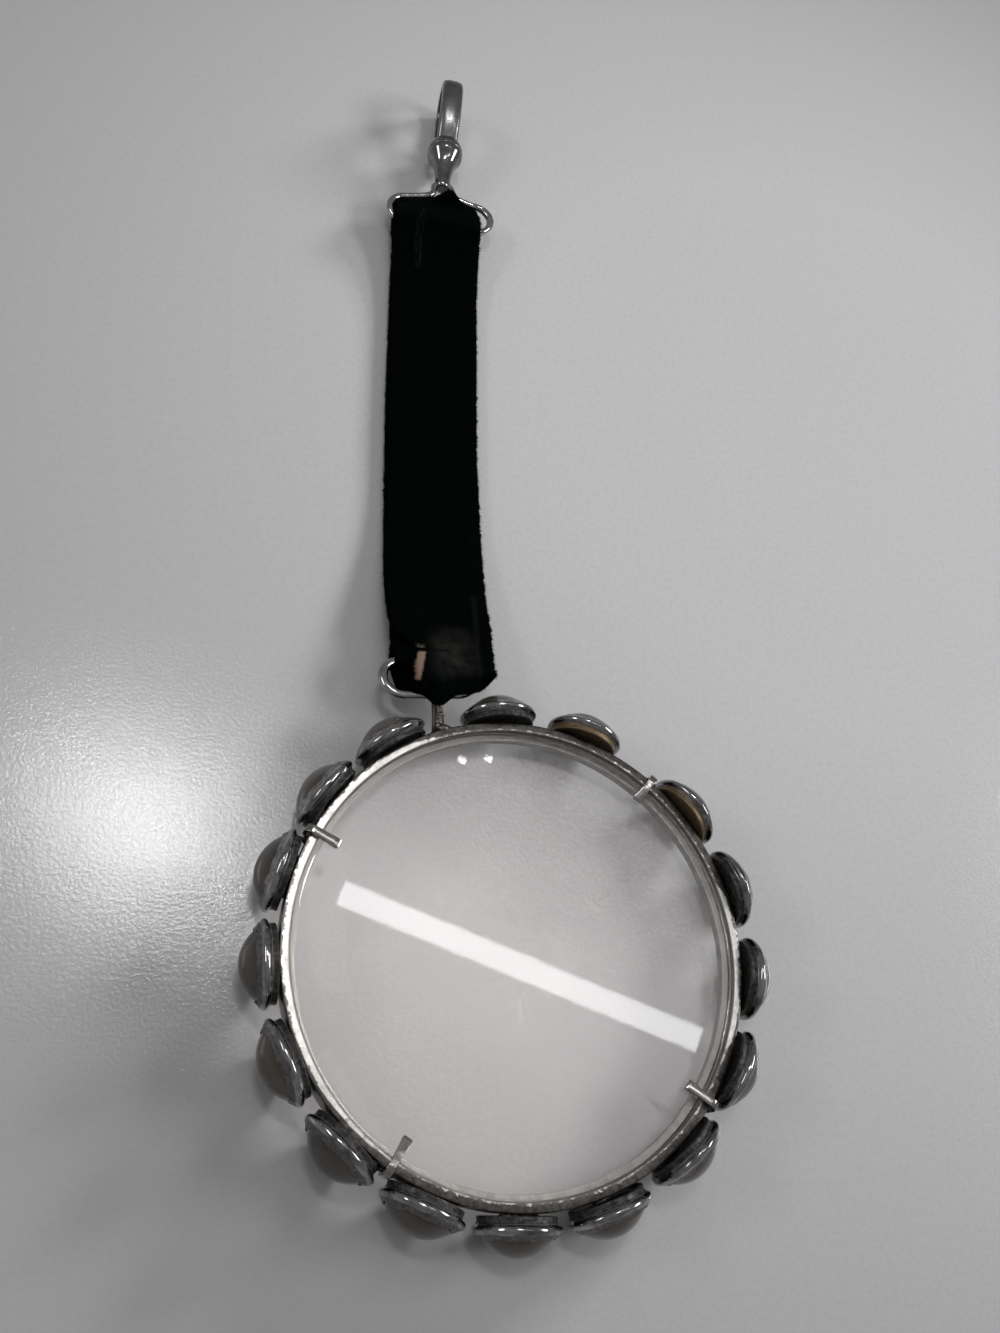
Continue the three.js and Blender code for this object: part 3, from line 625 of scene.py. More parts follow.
def velvet_material(name, wear=None):
    """Black-green velvet in ribbon coordinates: U across and V along, both in centimetres.

    The low piece is worn bald near its end, with a strip of bare backing; the high piece is only rubbed.
    """
    n = Nodes(bpy.data.materials.new(name))
    uv = n.coords("UV")
    pile = n.noise(uv, 95, 4, 0.7)
    nap = n.noise(n.stretched(uv, (9, 0.8, 1)), 5, 4, 0.6, 0.3)
    colour = n.mix(n.fit(nap, 0.42, 0.72), (0.0002, 0.0003, 0.0003), (0.0009, 0.0018, 0.0019))
    colour = n.mix(n.fit(pile, 0.62, 0.85, 0, 0.6), colour, (0.0026, 0.0038, 0.0038))
    place = n.split(uv)
    frayed = n.times(n.minus(n.noise(uv, 22, 4, 0.65), 0.5), 0.06)
    across, along = n.plus(place["X"], frayed), n.plus(place["Y"], n.times(frayed, 0.8))
    weave = n.noise(n.stretched(uv, (60, 18, 1)), 4, 3, 0.6)
    cloudy = n.noise(uv, 6, 4, 0.6)

    def window(value, a, b, soft):
        """1 between a and b, with soft ends."""
        return n.times(n.fit(value, a, a + soft), n.fit(value, b - soft, b, 1, 0))

    def patch(u0, u1, v0, v1, soft, slant=0.0):
        """A window across and along the ribbon."""
        shift = n.minus(across, n.times(n.minus(along, (v0 + v1) / 2), slant))
        return n.times(window(shift, u0, u1, soft), window(along, v0, v1, soft))

    if wear == "low":
        bald = n.times(patch(0.40, 1.10, 0.16, 1.0, 0.28), n.fit(weave, 0.40, 0.62, 0.2, 1))
        bald = n.times(bald, n.fit(cloudy, 0.30, 0.66, 0.15, 1))
        colour = n.mix(n.times(bald, 0.9), colour, (0.036, 0.034, 0.031))
        side = n.times(patch(1.00, 1.10, 0.2, 1.5, 0.04), n.fit(weave, 0.45, 0.6))
        colour = n.mix(n.times(side, 0.6), colour, (0.013, 0.017, 0.017))
        tan = n.mix(n.fit(weave, 0.4, 0.65), (0.25, 0.17, 0.13), (0.15, 0.10, 0.075))
        colour = n.mix(patch(0.270, 0.392, 0.12, 0.58, 0.03, 0.22), colour, tan)
        crumbs = n.times(patch(0.30, 0.43, 0.57, 0.70, 0.04), n.fit(pile, 0.5, 0.58))
        colour = n.mix(crumbs, colour, (0.13, 0.11, 0.09))
        lint = n.fit(n.voronoi(uv, 2.6), 0.02, 0.035, 1, 0)
        lint = n.times(lint, patch(0.1, 1.2, 0.55, 1.6, 0.1))
        colour = n.mix(lint, colour, (0.30, 0.29, 0.27))
    if wear == "high":
        rubbed = n.times(patch(0.28, 0.46, 2.7, 3.75, 0.06), n.fit(nap, 0.45, 0.6))
        colour = n.mix(n.times(rubbed, 0.6), colour, (0.008, 0.011, 0.011))
    height = n.plus(pile, n.times(nap, 0.6))
    return n.finish(Base_Color=colour, Roughness=0.95, Sheen_Weight=0.012, Sheen_Roughness=0.5,
                    Sheen_Tint=(0.5, 0.68, 0.7, 1), Specular_IOR_Level=0.012, Normal=n.bump(height, 0.7, 0.0002))


STONE = stone_material()
GLASS, GLASS_BACK = glass_material("lens_glass", True), glass_material("lens_glass_back", False)
VELVET = velvet_material("velvet")
WORN = velvet_material("velvet_worn", "low")
RUBBED = velvet_material("velvet_rubbed", "high")


# Nothing dips below this height in millimetres, so that it doesn't cut into the table
LEAST_Z = 0.01


def dress(obj, material, slot, body, *nodes):
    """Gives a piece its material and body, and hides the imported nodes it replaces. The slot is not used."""
    obj.data.materials.clear()
    obj.data.materials.append(material)
    for v in obj.data.vertices:
        v.co.z = max(v.co.z, LEAST_Z * MM)
    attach(obj, body)
    if nodes:
        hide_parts(*nodes)


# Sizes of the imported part, in millimetres
R_OUT, R_IN, RING_FRONT = 25.0, 23.95, 1.9
LENS_R, LENS_FRONT, LENS_EDGE, LENS_CURVE = 23.83, 1.6, 1.5, 80
STONE_ANGLES = [-3, 20] + [51.9 + 21.9 * i for i in range(6)] + [328 - 20.8 * (7 - i) for i in range(8)]
CLAW_ANGLES = [40.3, 128.55, 213.6, 296.8]
WIRE_R, EYE_WIRE_R = 0.475, 0.375
EYE_ANGLE = radians(-20)
SOLDER_GAP = 0.12


def round_rim(angle):
    """The frame at this many degrees round the ring, with local Y outwards."""
    return LENS @ Matrix.Rotation(-radians(angle), 4, "Z")


# Ring with its seat behind the glass, and the glass

def build_ring():
    seat = R_IN - 0.7
    seat_top = lens_back(seat) - 0.12
    profile = rounded([
        (seat, -RING_FRONT, 0.12), (R_OUT, -RING_FRONT, 0.2), (R_OUT, RING_FRONT, 0.2),
        (R_IN, RING_FRONT, 0.16), (R_IN, seat_top, 0.05), (seat, seat_top, 0.08),
    ], closed=True, steps=5)

    def warp(v):
        k = around(v, 6, 0, v.y) * 0.035
        return vec(v.x * (1 + k * 0.02), v.y * (1 + k * 0.5), v.z * (1 + k * 0.02))

    ring = lathe("ring_hoop", profile, LENS_AXIS, segs=288, closed=True, warp=warp)
    dress(ring, RING, "ring_silver", "lens_frame", "lens_ring")


def lens_back(radius):
    """Height of the glass's curved back at a radius."""
    flat = sqrt(LENS_CURVE ** 2 - LENS_R ** 2)
    return LENS_FRONT - LENS_EDGE + flat - sqrt(LENS_CURVE ** 2 - radius ** 2)


def build_lens():
    bevel = 1.5
    back = [(r, lens_back(r)) for r in (LENS_R * i / 24 for i in range(24))]
    last = LENS_R * 23.5 / 24
    edge = rounded([(last, lens_back(last)), (LENS_R, lens_back(LENS_R), 0.1), (LENS_R, LENS_FRONT - 0.10, 0.05)])
    edge += [(LENS_R - bevel * k, LENS_FRONT - 0.02 * (1 - k) ** 2) for k in (i / 8 for i in range(1, 9))]
    front = [(LENS_R * k, LENS_FRONT) for k in (0.85, 0.6, 0.3)] + [(0, LENS_FRONT)]
    glass = lathe("lens_glass_disc", back + edge + front, LENS_AXIS, segs=192)
    dress(glass, GLASS, "lens_glass", "lens_frame", "lens")
    glass.data.materials.append(GLASS_BACK)
    for face in glass.data.polygons:
        face.material_index = int(face.normal.z < -0.3)


# Cup settings and their stones

# The cup's outline: radius, height above its back, and how far each corner is rounded
CUP = [(0, 0.3), (3.5, 0.3, 0.1), (3.56, 0, 0.1), (3.95, 0, 0.14), (3.90, 0.50, 0.1), (4.02, 0.68, 0.12),
       (4.40, 0.92, 0.3), (4.44, 1.25, 0.25), (4.24, 1.52, 0.12), (4.02, 1.66, 0.06), (3.80, 1.86, 0.08),
       (3.60, 2.06, 0.05), (3.52, 2.0, 0.03), (3.86, 1.5, 0.02), (3.98, 1.2), (3.98, 0.6), (0, 0.6)]
CUP_LIP = 1.62
STONE_R, STONE_BASE, STONE_GIRDLE, STONE_DOME = 3.9, 0.72, 0.58, 2.37


def build_setting(number, angle):
    draw = random.Random(number).uniform
    place = round_rim(angle)
    tag = f"{number:02d}"
    back = R_OUT + SOLDER_GAP
    seed = draw(0, 50)

    def warp(v):
        reach = max(0, min(1, (v.y - back - CUP_LIP) / 0.3))
        burr = min(0.1, around(v, 3.5, seed) * 0.34 + around(v, 14, seed, 4) * 0.14)
        k = 1 - reach * burr * 0.24
        dent = 1 + 0.006 * around(v, 2.2, 0, seed)
        out = noise.noise_vector(v * 0.8 + vec(seed, 0)) * 0.03
        return vec(v.x * k * dent, v.y + reach * burr, v.z * k * dent) + out

    outline = rounded([(radius, back + up, *reach) for radius, up, *reach in CUP], steps=5)
    cup = lathe(f"setting_{tag}", outline, place, segs=128, warp=warp, zero=back)
    dress(cup, SETTING_LOOKS.get(number, SETTING), "setting_silver", "lens_frame", f"collet_{tag}")
    for side in (-1, 1):
        spot = side * draw(0.5, 1.5), R_OUT + 0.06, draw(-0.9, 1.1)
        size = draw(0.9, 1.5), 0.24, draw(0.5, 0.8)
        solder_blob(f"solder_{tag}_{'ab'[side > 0]}", place, spot, size, seed + side)
    base = back + STONE_BASE
    girdle = base + STONE_GIRDLE
    radius = (STONE_R ** 2 + STONE_DOME ** 2) / (2 * STONE_DOME)
    centre = girdle + STONE_DOME - radius
    start = asin((girdle - centre) / radius)
    profile = [(0, base), (STONE_R - 0.04, base), (STONE_R, base + 0.06), (STONE_R, girdle)]
    profile += [(radius * cos(a), centre + radius * sin(a))
                for a in (start + (pi / 2 - start) * i / 22 for i in range(1, 22))]
    profile.append((0, girdle + STONE_DOME))
    stone = lathe(f"stone_{tag}", profile, place, segs=72, warp=wobbled(0.03, 0.35, seed))
    dress(stone, STONE, "stone", "lens_frame", f"cabochon_{tag}")


def solder_blob(name, place, spot, size, seed):
    """An uneven bead of solder on the lens frame."""
    mesh = bpy.data.meshes.new(name)
    with edited(mesh) as bm:
        bmesh.ops.create_icosphere(bm, subdivisions=4, radius=1)
        for v in bm.verts:
            p = v.co.copy()
            rough = 1 + 0.22 * noise.noise(p * 1.8 + vec(seed, 0))
            rough += 0.10 * noise.noise(p * 5 + vec(0, seed))
            v.co = vec(p.x * size[0], p.y * size[1], p.z * size[2]) * rough
    mesh.transform(place @ Matrix.Translation(spot))
    dress(smoothed(linked(name, mesh)), SOLDER, "ring_silver", "lens_frame")


# Claws: flat wire turned in over the front of the glass

def build_claw(number, angle):
    draw = random.Random(40 + number).uniform
    place = round_rim(angle)
    out, top = R_OUT + 0.42, RING_FRONT + 0.54
    bend, step = 0.75, 0.1
    corner = vec(0, out, top)
    a, b = vec(0, out, top - bend), vec(0, out - bend, top)
    curve = [a * (1 - t) ** 2 + corner * 2 * t * (1 - t) + b * t ** 2 for t in (i / 12 for i in range(13))]
    foot, tip = vec(0, out, top - 2.6), vec(0, R_IN - 2.2, LENS_FRONT + 0.42)
    path = resample(joined([foot, a], curve, [b, tip]), step)
    seed = draw(0, 40)

    def section(share):
        near = min(share, 1 - share) * (len(path) - 1) * step
        k = 1 - 0.25 * max(0, 1 - near / 0.16) ** 2
        flare = 1 + 0.3 * max(0, (share - 0.7) / 0.3) ** 1.5
        w = (0.44 + 0.03 * uneven(share * 6, seed, 0)) * k * flare
        d = 0.27 * k / flare
        return rounded([(-d, -w, 0.05), (d, -w, 0.08), (d, w, 0.08), (-d, w, 0.05)], closed=True, steps=3)

    claw = sweep(f"claw_wire_{number}", path, section, place, up=Y, warp=wobbled(0.025, 1.1, seed))
    for k in range(3):
        spot = draw(-0.5, 0.5), R_OUT + 0.12, draw(-0.6, 1.7)
        size = draw(0.5, 0.9), 0.3, draw(0.35, 0.6)
        solder_blob(f"claw_solder_{number}_{k}", place, spot, size, seed + k)
    dress(claw, CLAW, "ring_silver", "lens_frame", f"claw_{number}")


# Eye, link, stirrup

# Solder on the eye: its place right of, out from and above the eye's root, and its size
EYE_SOLDER = [(0, 0.3, 1.05, (0.72, 0.85, 0.6)), (0.45, 0.1, 1.5, (0.95, 0.55, 0.5)),
              (-0.05, 1.1, 1.05, (0.55, 1.4, 0.5)), (0.8, 0.0, 0.7, (0.8, 0.4, 0.7)),
              (0, 0.2, -1.0, (0.6, 0.6, 0.5)), (0.08, 1.9, 1.2, (0.46, 0.4, 0.42))]


def build_eye():
    x = sin(EYE_ANGLE) * R_OUT
    half = WIRE_R + 0.28 + EYE_WIRE_R
    root = sqrt(R_OUT ** 2 - (abs(x) - EYE_WIRE_R) ** 2) + SOLDER_GAP
    bar = cos(EYE_ANGLE) * R_OUT + 4.65
    path = joined([vec(x, root, half), vec(x, bar, half)],
                  arc(vec(x, bar), Z, Y, half, 0, pi, 30),
                  [vec(x, bar, -half), vec(x, root, -half)])
    eye = wire("eye_hairpin", path, EYE_WIRE_R, LENS, step=0.08, wobble=0.2, seed=3)
    for k, (right, out, up, size) in enumerate(EYE_SOLDER):
        solder_blob(f"eye_solder_{k}", LENS, (x + right, root - 0.1 + out, up), size, 5 + k * 3.7)
    dress(eye, SOLDER, "ring_silver", "lens_frame", "frame_eye")


def build_link():
    span, cut, half_length, tip = 4.7, 1.85, 5.8043, 0.75
    end = span / 2
    straight = half_length - end - WIRE_R
    left, right = vec(-straight, end), vec(straight, end)
    path = joined([vec(-straight + tip, span)], arc(left, X, Y, end, pi / 2, pi * 1.5, 40),
                  arc(right, X, Y, end, -pi / 2, pi / 2, 40),
                  [vec(straight, span), vec(-straight + cut, span)])
    # Right of the eye the lower bar is bent up, under the ribbon's flap
    for point in path:
        if point.y < end:
            point.y += 0.55 * eased((point.x - 0.8) / 1.3) * (1 - point.y / end)
    link = wire("link_wire", path, WIRE_R, LINK, wobble=0.04, seed=9, thick=((0.19, 0.1, 0.2),))
    dress(link, WIRE_STEEL, "polished_steel", "link", "open_link")


def build_stirrup():
    half, rise, apex_x, apex_y, foot = 6.25 + 1.2, 4.85, 0.6, 8.2, 1.15
    curl = rise / 2
    flat = half - curl
    reach = apex_y - WIRE_R
    shoulders = catmull([vec(x, y) for x, y in (
        (flat, rise), (apex_x + 1.9, 5.9), (apex_x + foot, reach), (apex_x, apex_y),
        (apex_x - foot, reach), (apex_x - 1.9, 5.9), (-flat, rise))], 14)
    path = joined([vec(0.12, 0), vec(flat, 0)],
                  arc(vec(flat, curl), X, Y, curl, -pi / 2, pi / 2, 36), shoulders,
                  arc(vec(-flat, curl), X, Y, curl, pi / 2, pi * 1.5, 36),
                  [vec(-flat, 0), vec(-0.12, 0)])
    stirrup = wire("stirrup_hanger", path, WIRE_R, WIRE, wobble=0.03, seed=5,
                   thick=((0.25, 0.05, 0.2), (0.75, 0.05, 0.12)))
    dress(stirrup, WIRE_STEEL, "polished_steel", "stirrup", "stirrup_wire")


# Swivel shank and hook, in millimetres along the swivel from its joint

BALL_R, BORE_R, STEM_R = 2.6, 0.85, 0.75


def build_shank():
    foot, hole_r = -6.05, 0.70
    profile = rounded([
        (0, foot - 0.9), (0.88, foot - 0.9, 0.25), (1.08, foot - 0.4, 0.3), (1.10, foot + 0.6, 0.5),
        (1.2, foot + 1.7, 0.6), (1.40, foot + 2.85, 0.6), (1.72, foot + 3.9, 0.5), (2.12, foot + 4.7, 0.5),
        (2.52, -0.7, 0.45), (BALL_R, -0.16, 0.12), (2.44, -0.1, 0.02), (STEM_R, -0.1),
        (STEM_R, 2.55), (1.0, 2.55, 0.05), (1.05, 2.62, 0.1), (0.85, 3.0, 0.25), (0, 3.0),
    ], steps=6)
    shank = lathe("shank_turned", profile, SHANK, segs=96)
    hole = wire("cutter", [vec(-3, foot), vec(3, foot)], hole_r, SHANK,
                step=1, sides=32, soften=0.001)
    sharpen(carved(shank, ("DIFFERENCE", hole)), 30)
    dress(shank, SHANK_STEEL, "polished_steel", "stirrup", "swivel_shank")


# The hook's band: its half width, where its inner face lies, its thickness, and its outline in shares of them
BAND_HALF, BAND_INNER, BAND_THICK = 1.55, -0.7, 1.4
BAND = [(0, -1, 0.08), (0, 1, 0.08), (0.56, 1, 0.1), (0.86, 0.86, 0.22), (1, 0.42, 0.4),
        (1, -0.42, 0.4), (0.86, -0.86, 0.22), (0.56, -1, 0.1)]
# The lug that holds the gate's pin, as (along, up) of its outline
LUG = [(0.8, -1.6), (0.8, -2.08, 0.2), (3.5, -2.9, 0.3), (4.0, -3.1, 0.4), (4.55, -2.85, 0.4),
       (4.7, -2.4, 0.35), (4.4, -1.85, 0.4), (3.75, -1.8, 0.3), (2.35, -1.6)]


def hook_path():
    cap, run, bend, root = 2.45, 6.9, 3.65, 1.45
    centre = cap + run
    p0 = vec(0, cap - BAND_THICK / 2, root)
    p1 = vec(0, cap + BAND_THICK / 2, root + BAND_THICK / 2)
    p2 = vec(0, cap + run / 3, bend)
    p3 = vec(0, centre, bend)
    spine = [p0 * (1 - t) ** 3 + p1 * 3 * t * (1 - t) ** 2 + p2 * 3 * t * t * (1 - t) + p3 * t ** 3
             for t in (i / 40 for i in range(41))]
    return joined(spine, arc(vec(0, centre), Y, Z, bend, pi / 2, radians(-50), 60))


def build_hook():
    step = 0.14
    path = resample(hook_path(), step)
    total = (len(path) - 1) * step
    outline = rounded([(BAND_INNER + BAND_THICK * u, BAND_HALF * v, reach) for u, v, reach in BAND], closed=True)

    def section(share):
        k = 1 - 0.22 * max(0, 1 - (total - share * total) / 0.3) ** 2
        return [(u * k, v * k) for u, v in outline]

    band = sweep("hook_band", path, section, HOOK)
    base = lathe("hook_base", rounded([
        (0, 0), (2.44, 0, 0.02), (BALL_R, 0.12, 0.08), (BALL_R, 0.5, 0.3), (2.46, 1.2, 0.5), (2.12, 1.9, 0.5),
        (1.6, 2.45, 0.3), (0, 2.45),
    ], steps=6), HOOK, segs=96)
    sides = rounded(LUG, closed=True)
    lug = mesh_object("hook_lug", [HOOK @ vec(x, y, z) for x in (-0.5, 0.5) for y, z in sides],
                      strip_faces(2, len(sides)))
    sharpen(outward(lug))
    bore = lathe("cutter", [(0, -0.2), (BORE_R, -0.2), (BORE_R, 2.6), (0, 2.6)], HOOK, segs=48)
    sharpen(carved(band, ("UNION", base), ("UNION", lug), ("DIFFERENCE", bore)), 34)
    dress(band, HOOK_STEEL, "dark_steel", "hook", "hook_body")


def copied(node, name, bevel):
    """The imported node's own shape with its sharp corners softened."""
    obj = frame["nodes"][node].copy()
    obj.data = obj.data.copy()
    obj.name = name
    obj.parent = None
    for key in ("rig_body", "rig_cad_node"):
        if key in obj:
            del obj[key]
    bpy.context.scene.collection.objects.link(obj)
    outward(obj)
    soft = obj.modifiers.new("soft", "BEVEL")
    soft.width, soft.segments = bevel * MM, 3
    soft.limit_method, soft.angle_limit = "ANGLE", radians(35)
    return sharpen(smoothed(applied(obj)), 32)


def build_gate():
    gate = copied("hook_gate", "gate_lever", 0.06)
    dress(gate, HOOK_STEEL, "dark_steel", "gate", "hook_gate")
    pin_at = HOOK.inverted() @ joint_pos("gate_open")
    pin = lathe("gate_rivet", rounded([(0, -1.62), (0.36, -1.58, 0.1), (0.35, -1.4, 0.05), (0.35, 1.4, 0.05),
                                      (0.36, 1.58, 0.1), (0, 1.62)]),
                HOOK @ Matrix.Translation(pin_at) @ Matrix.Rotation(-pi / 2, 4, "Z"), segs=32)
    dress(pin, WIRE_STEEL, "polished_steel", "hook", "gate_pin")
    spring = copied("gate_spring", "gate_leaf", 0.02)
    dress(spring, WIRE_STEEL, "polished_steel", "hook", "gate_spring")


# Ribbon: two plies, the top fold round the stirrup's bar, the front ply's flap over the link

RIBBON_X = -7.851
PLY = 0.6
ACROSS = 32

# The ribbon's left and right edges across it, at places along it
EDGE_LEFT = [(-17, -3.35), (-16.2, -3.9), (-15.2, -5.0), (-14.2, -5.9), (-13.6, -6.15), (-11.8, -6.4),
             (-7.4, -6.55), (4.7, -6.5), (17.2, -6.5), (23.8, -6.45), (30.7, -6.3), (42.5, -6.2),
             (47.7, -6.2), (50, -6.45), (53.7, -6.3)]
EDGE_RIGHT = [(-22, 6.1), (-19.6, 6.05), (-17.5, 6.18), (-15.5, 6.15), (-13.3, 6.15), (-10.4, 5.92),
              (-6, 5.82), (0, 5.8), (6.6, 5.78), (13, 5.62), (19.5, 5.75), (26.3, 5.88), (33.3, 6.03),
              (40.3, 6.1), (45.6, 6.24), (51, 6.37), (55.4, 6.35)]
BACK_LEFT = [(-13, -6.0), (-10, -6.4)] + EDGE_LEFT[6:]
BACK_RIGHT = [(-13, 6.0)] + EDGE_RIGHT[5:]

# How far the ribbon reaches past each bar, at places across it: the top fold, the flap and the back ply
TOP_REACH = [(-14.4, 2.3), (-13.6, 3.2), (-12.4, 3.9), (-10.4, 4.4), (-8.6, 4.95), (-7.9, 5.35), (-7.2, 5.7),
             (-6.5, 5.85), (-5.9, 5.75), (-5.2, 5.45), (-4.5, 5.2), (-4.0, 5.05), (-3.0, 4.75), (-2.3, 4.5),
             (-1.8, 4.0), (-1.4, 2.9)]
FLAP_REACH = [(-11.3, 4.35), (-9.9, 4.8), (-9.6, 5.8), (-9.2, 6.2), (-8.4, 6.3), (-7.95, 6.1), (-7.6, 4.9),
              (-6.0, 4.45), (-4.6, 4.2), (-3.6, 3.7), (-2.9, 3.15), (-2.4, 2.65), (-1.95, 2.15), (-1.7, 1.8),
              (-1.3, 1.3)]
BACK_REACH = [(-13.8, 0.8), (-13.5, 1.9), (-13.1, 3.0), (-12.5, 3.85), (-11.4, 4.25), (-10.2, 4.3),
              (-9.5, 3.2), (-8.5, 2.8), (-6.0, 2.9), (-4.0, 2.25), (-2.6, 1.4), (-1.8, 0.7)]


def between(value, table):
    """Straight-line reading of a table of (at, value)."""
    if value <= table[0][0]:
        return table[0][1]
    for (a, u), (b, v) in zip(table, table[1:]):
        if value <= b:
            return u + (v - u) * (value - a) / (b - a)
    return table[-1][1]


def eased(value):
    """0 up to 0 and 1 from 1, with a smooth step between."""
    value = max(0, min(1, value))
    return value * value * (3 - 2 * value)


def ribbon_ply(name, line, thick, seed, left, right, shape=None, ends=()):
    """A closed strip that follows a line of (y, z) points; UVs are centimetres across and along.

    ends holds the row of each cut end with the row beside it. Without it (None) the strip has no fibres.
    """
    draw = random.Random(seed).uniform
    verts, uvs = [], []
    ring = [(-1 + 2 * k / ACROSS, 0.5) for k in range(ACROSS + 1)]
    ring += [(1 - 2 * k / ACROSS, -0.5) for k in range(ACROSS + 1)]
    s, before = 0.0, line[0]
    for p, t in zip(line, tangents(line)):
        s, before, y = s + (p - before).length, p, p.x
        edges = [between(y, table) + 0.14 * uneven(y * 1.1, 0, slow) + 0.13 * uneven(y * 3.1, 0, quick)
                 for table, slow, quick in ((left, 2, 5), (right, 4, 6))]
        for u, side in ring:
            x = (edges[0] + edges[1]) / 2 + (edges[1] - edges[0]) / 2 * u
            bulge = 1 - 0.55 * max(0, abs(u) - 0.9) / 0.1
            ridge = 0.05 * uneven(x * 1.4, y * 0.07, 3) + 0.05 * uneven(x * 0.5, y * 0.22, 3)
            off = thick * side * bulge + ridge
            v = vec(RIBBON_X + x, y - t.y * off, p.y + t.x * off)
            v = shape(v) if shape else v
            v.z = max(v.z, LEAST_Z)
            verts.append(v * MM)
            uvs.append(((x + 6.25) / 10, s / 10))
    faces = strip_faces(len(line), len(ring))
    if ends is not None:
        fray_edges(draw, verts, faces, uvs, len(line), len(ring), ends)
    obj = unwrapped(mesh_object(name, verts, faces), uvs)
    with edited(obj.data) as bm:
        bmesh.ops.recalc_face_normals(bm, faces=bm.faces)
        for face in bm.faces:
            if len(face.verts) > 4:
                for e in face.edges:
                    e.smooth = False
    return obj


def fray_edges(draw, verts, faces, uvs, rows, count, ends):
    """Short fibres of pile that stick out of the strip's two sides and its cut ends."""
    roots = []
    for i in range(rows):
        for k, way in ((0, -1), (ACROSS, 1)):
            roots += [(i * count + k, vec(way, 0))] * 3
    for i, away in ends:
        for k in range(ACROSS + 1):
            inward = verts[away * count + k] - verts[i * count + k]
            out = -inward.normalized() if inward.length > 1e-9 else vec(0, -1)
            roots += [(i * count + k, out)] * 3
    for index, out in roots:
        near = index + (1 if index + 1 < rows * count else -1)
        base = verts[index].lerp(verts[near], draw(-0.4, 0.6) if abs(out.x) < 0.5 else 0.0)
        base = base + vec(0, draw(-0.13, 0.13), draw(-0.12, 0.02)) * MM - out * 0.05 * MM
        lean = vec(draw(-0.5, 0.5), draw(-0.9, 0.9), draw(-0.7, 0.7))
        aim = (out + lean).normalized()
        side = aim.cross(vec(0.3, 0.2, 1)).normalized()
        other = aim.cross(side)
        reach, width = draw(0.14, 0.5) * MM, draw(0.025, 0.05) * MM
        first = len(verts)
        for a in (0, 2 * pi / 3, 4 * pi / 3):
            verts.append(base + side * (width * cos(a)) + other * (width * sin(a)))
        verts.append(base + aim * reach)
        for v in verts[first:]:
            v.z = max(v.z, LEAST_Z * MM)
        uvs.extend([uvs[index]] * 4)
        faces += [(first, first + 1, first + 2), (first, first + 1, first + 3),
                  (first + 1, first + 2, first + 3), (first + 2, first, first + 3)]


def merged(name, parts):
    bpy.ops.object.select_all(action="DESELECT")
    for p in parts:
        p.select_set(True)
    bpy.context.view_layer.objects.active = parts[0]
    bpy.ops.object.join()
    parts[0].name = name
    return parts[0]


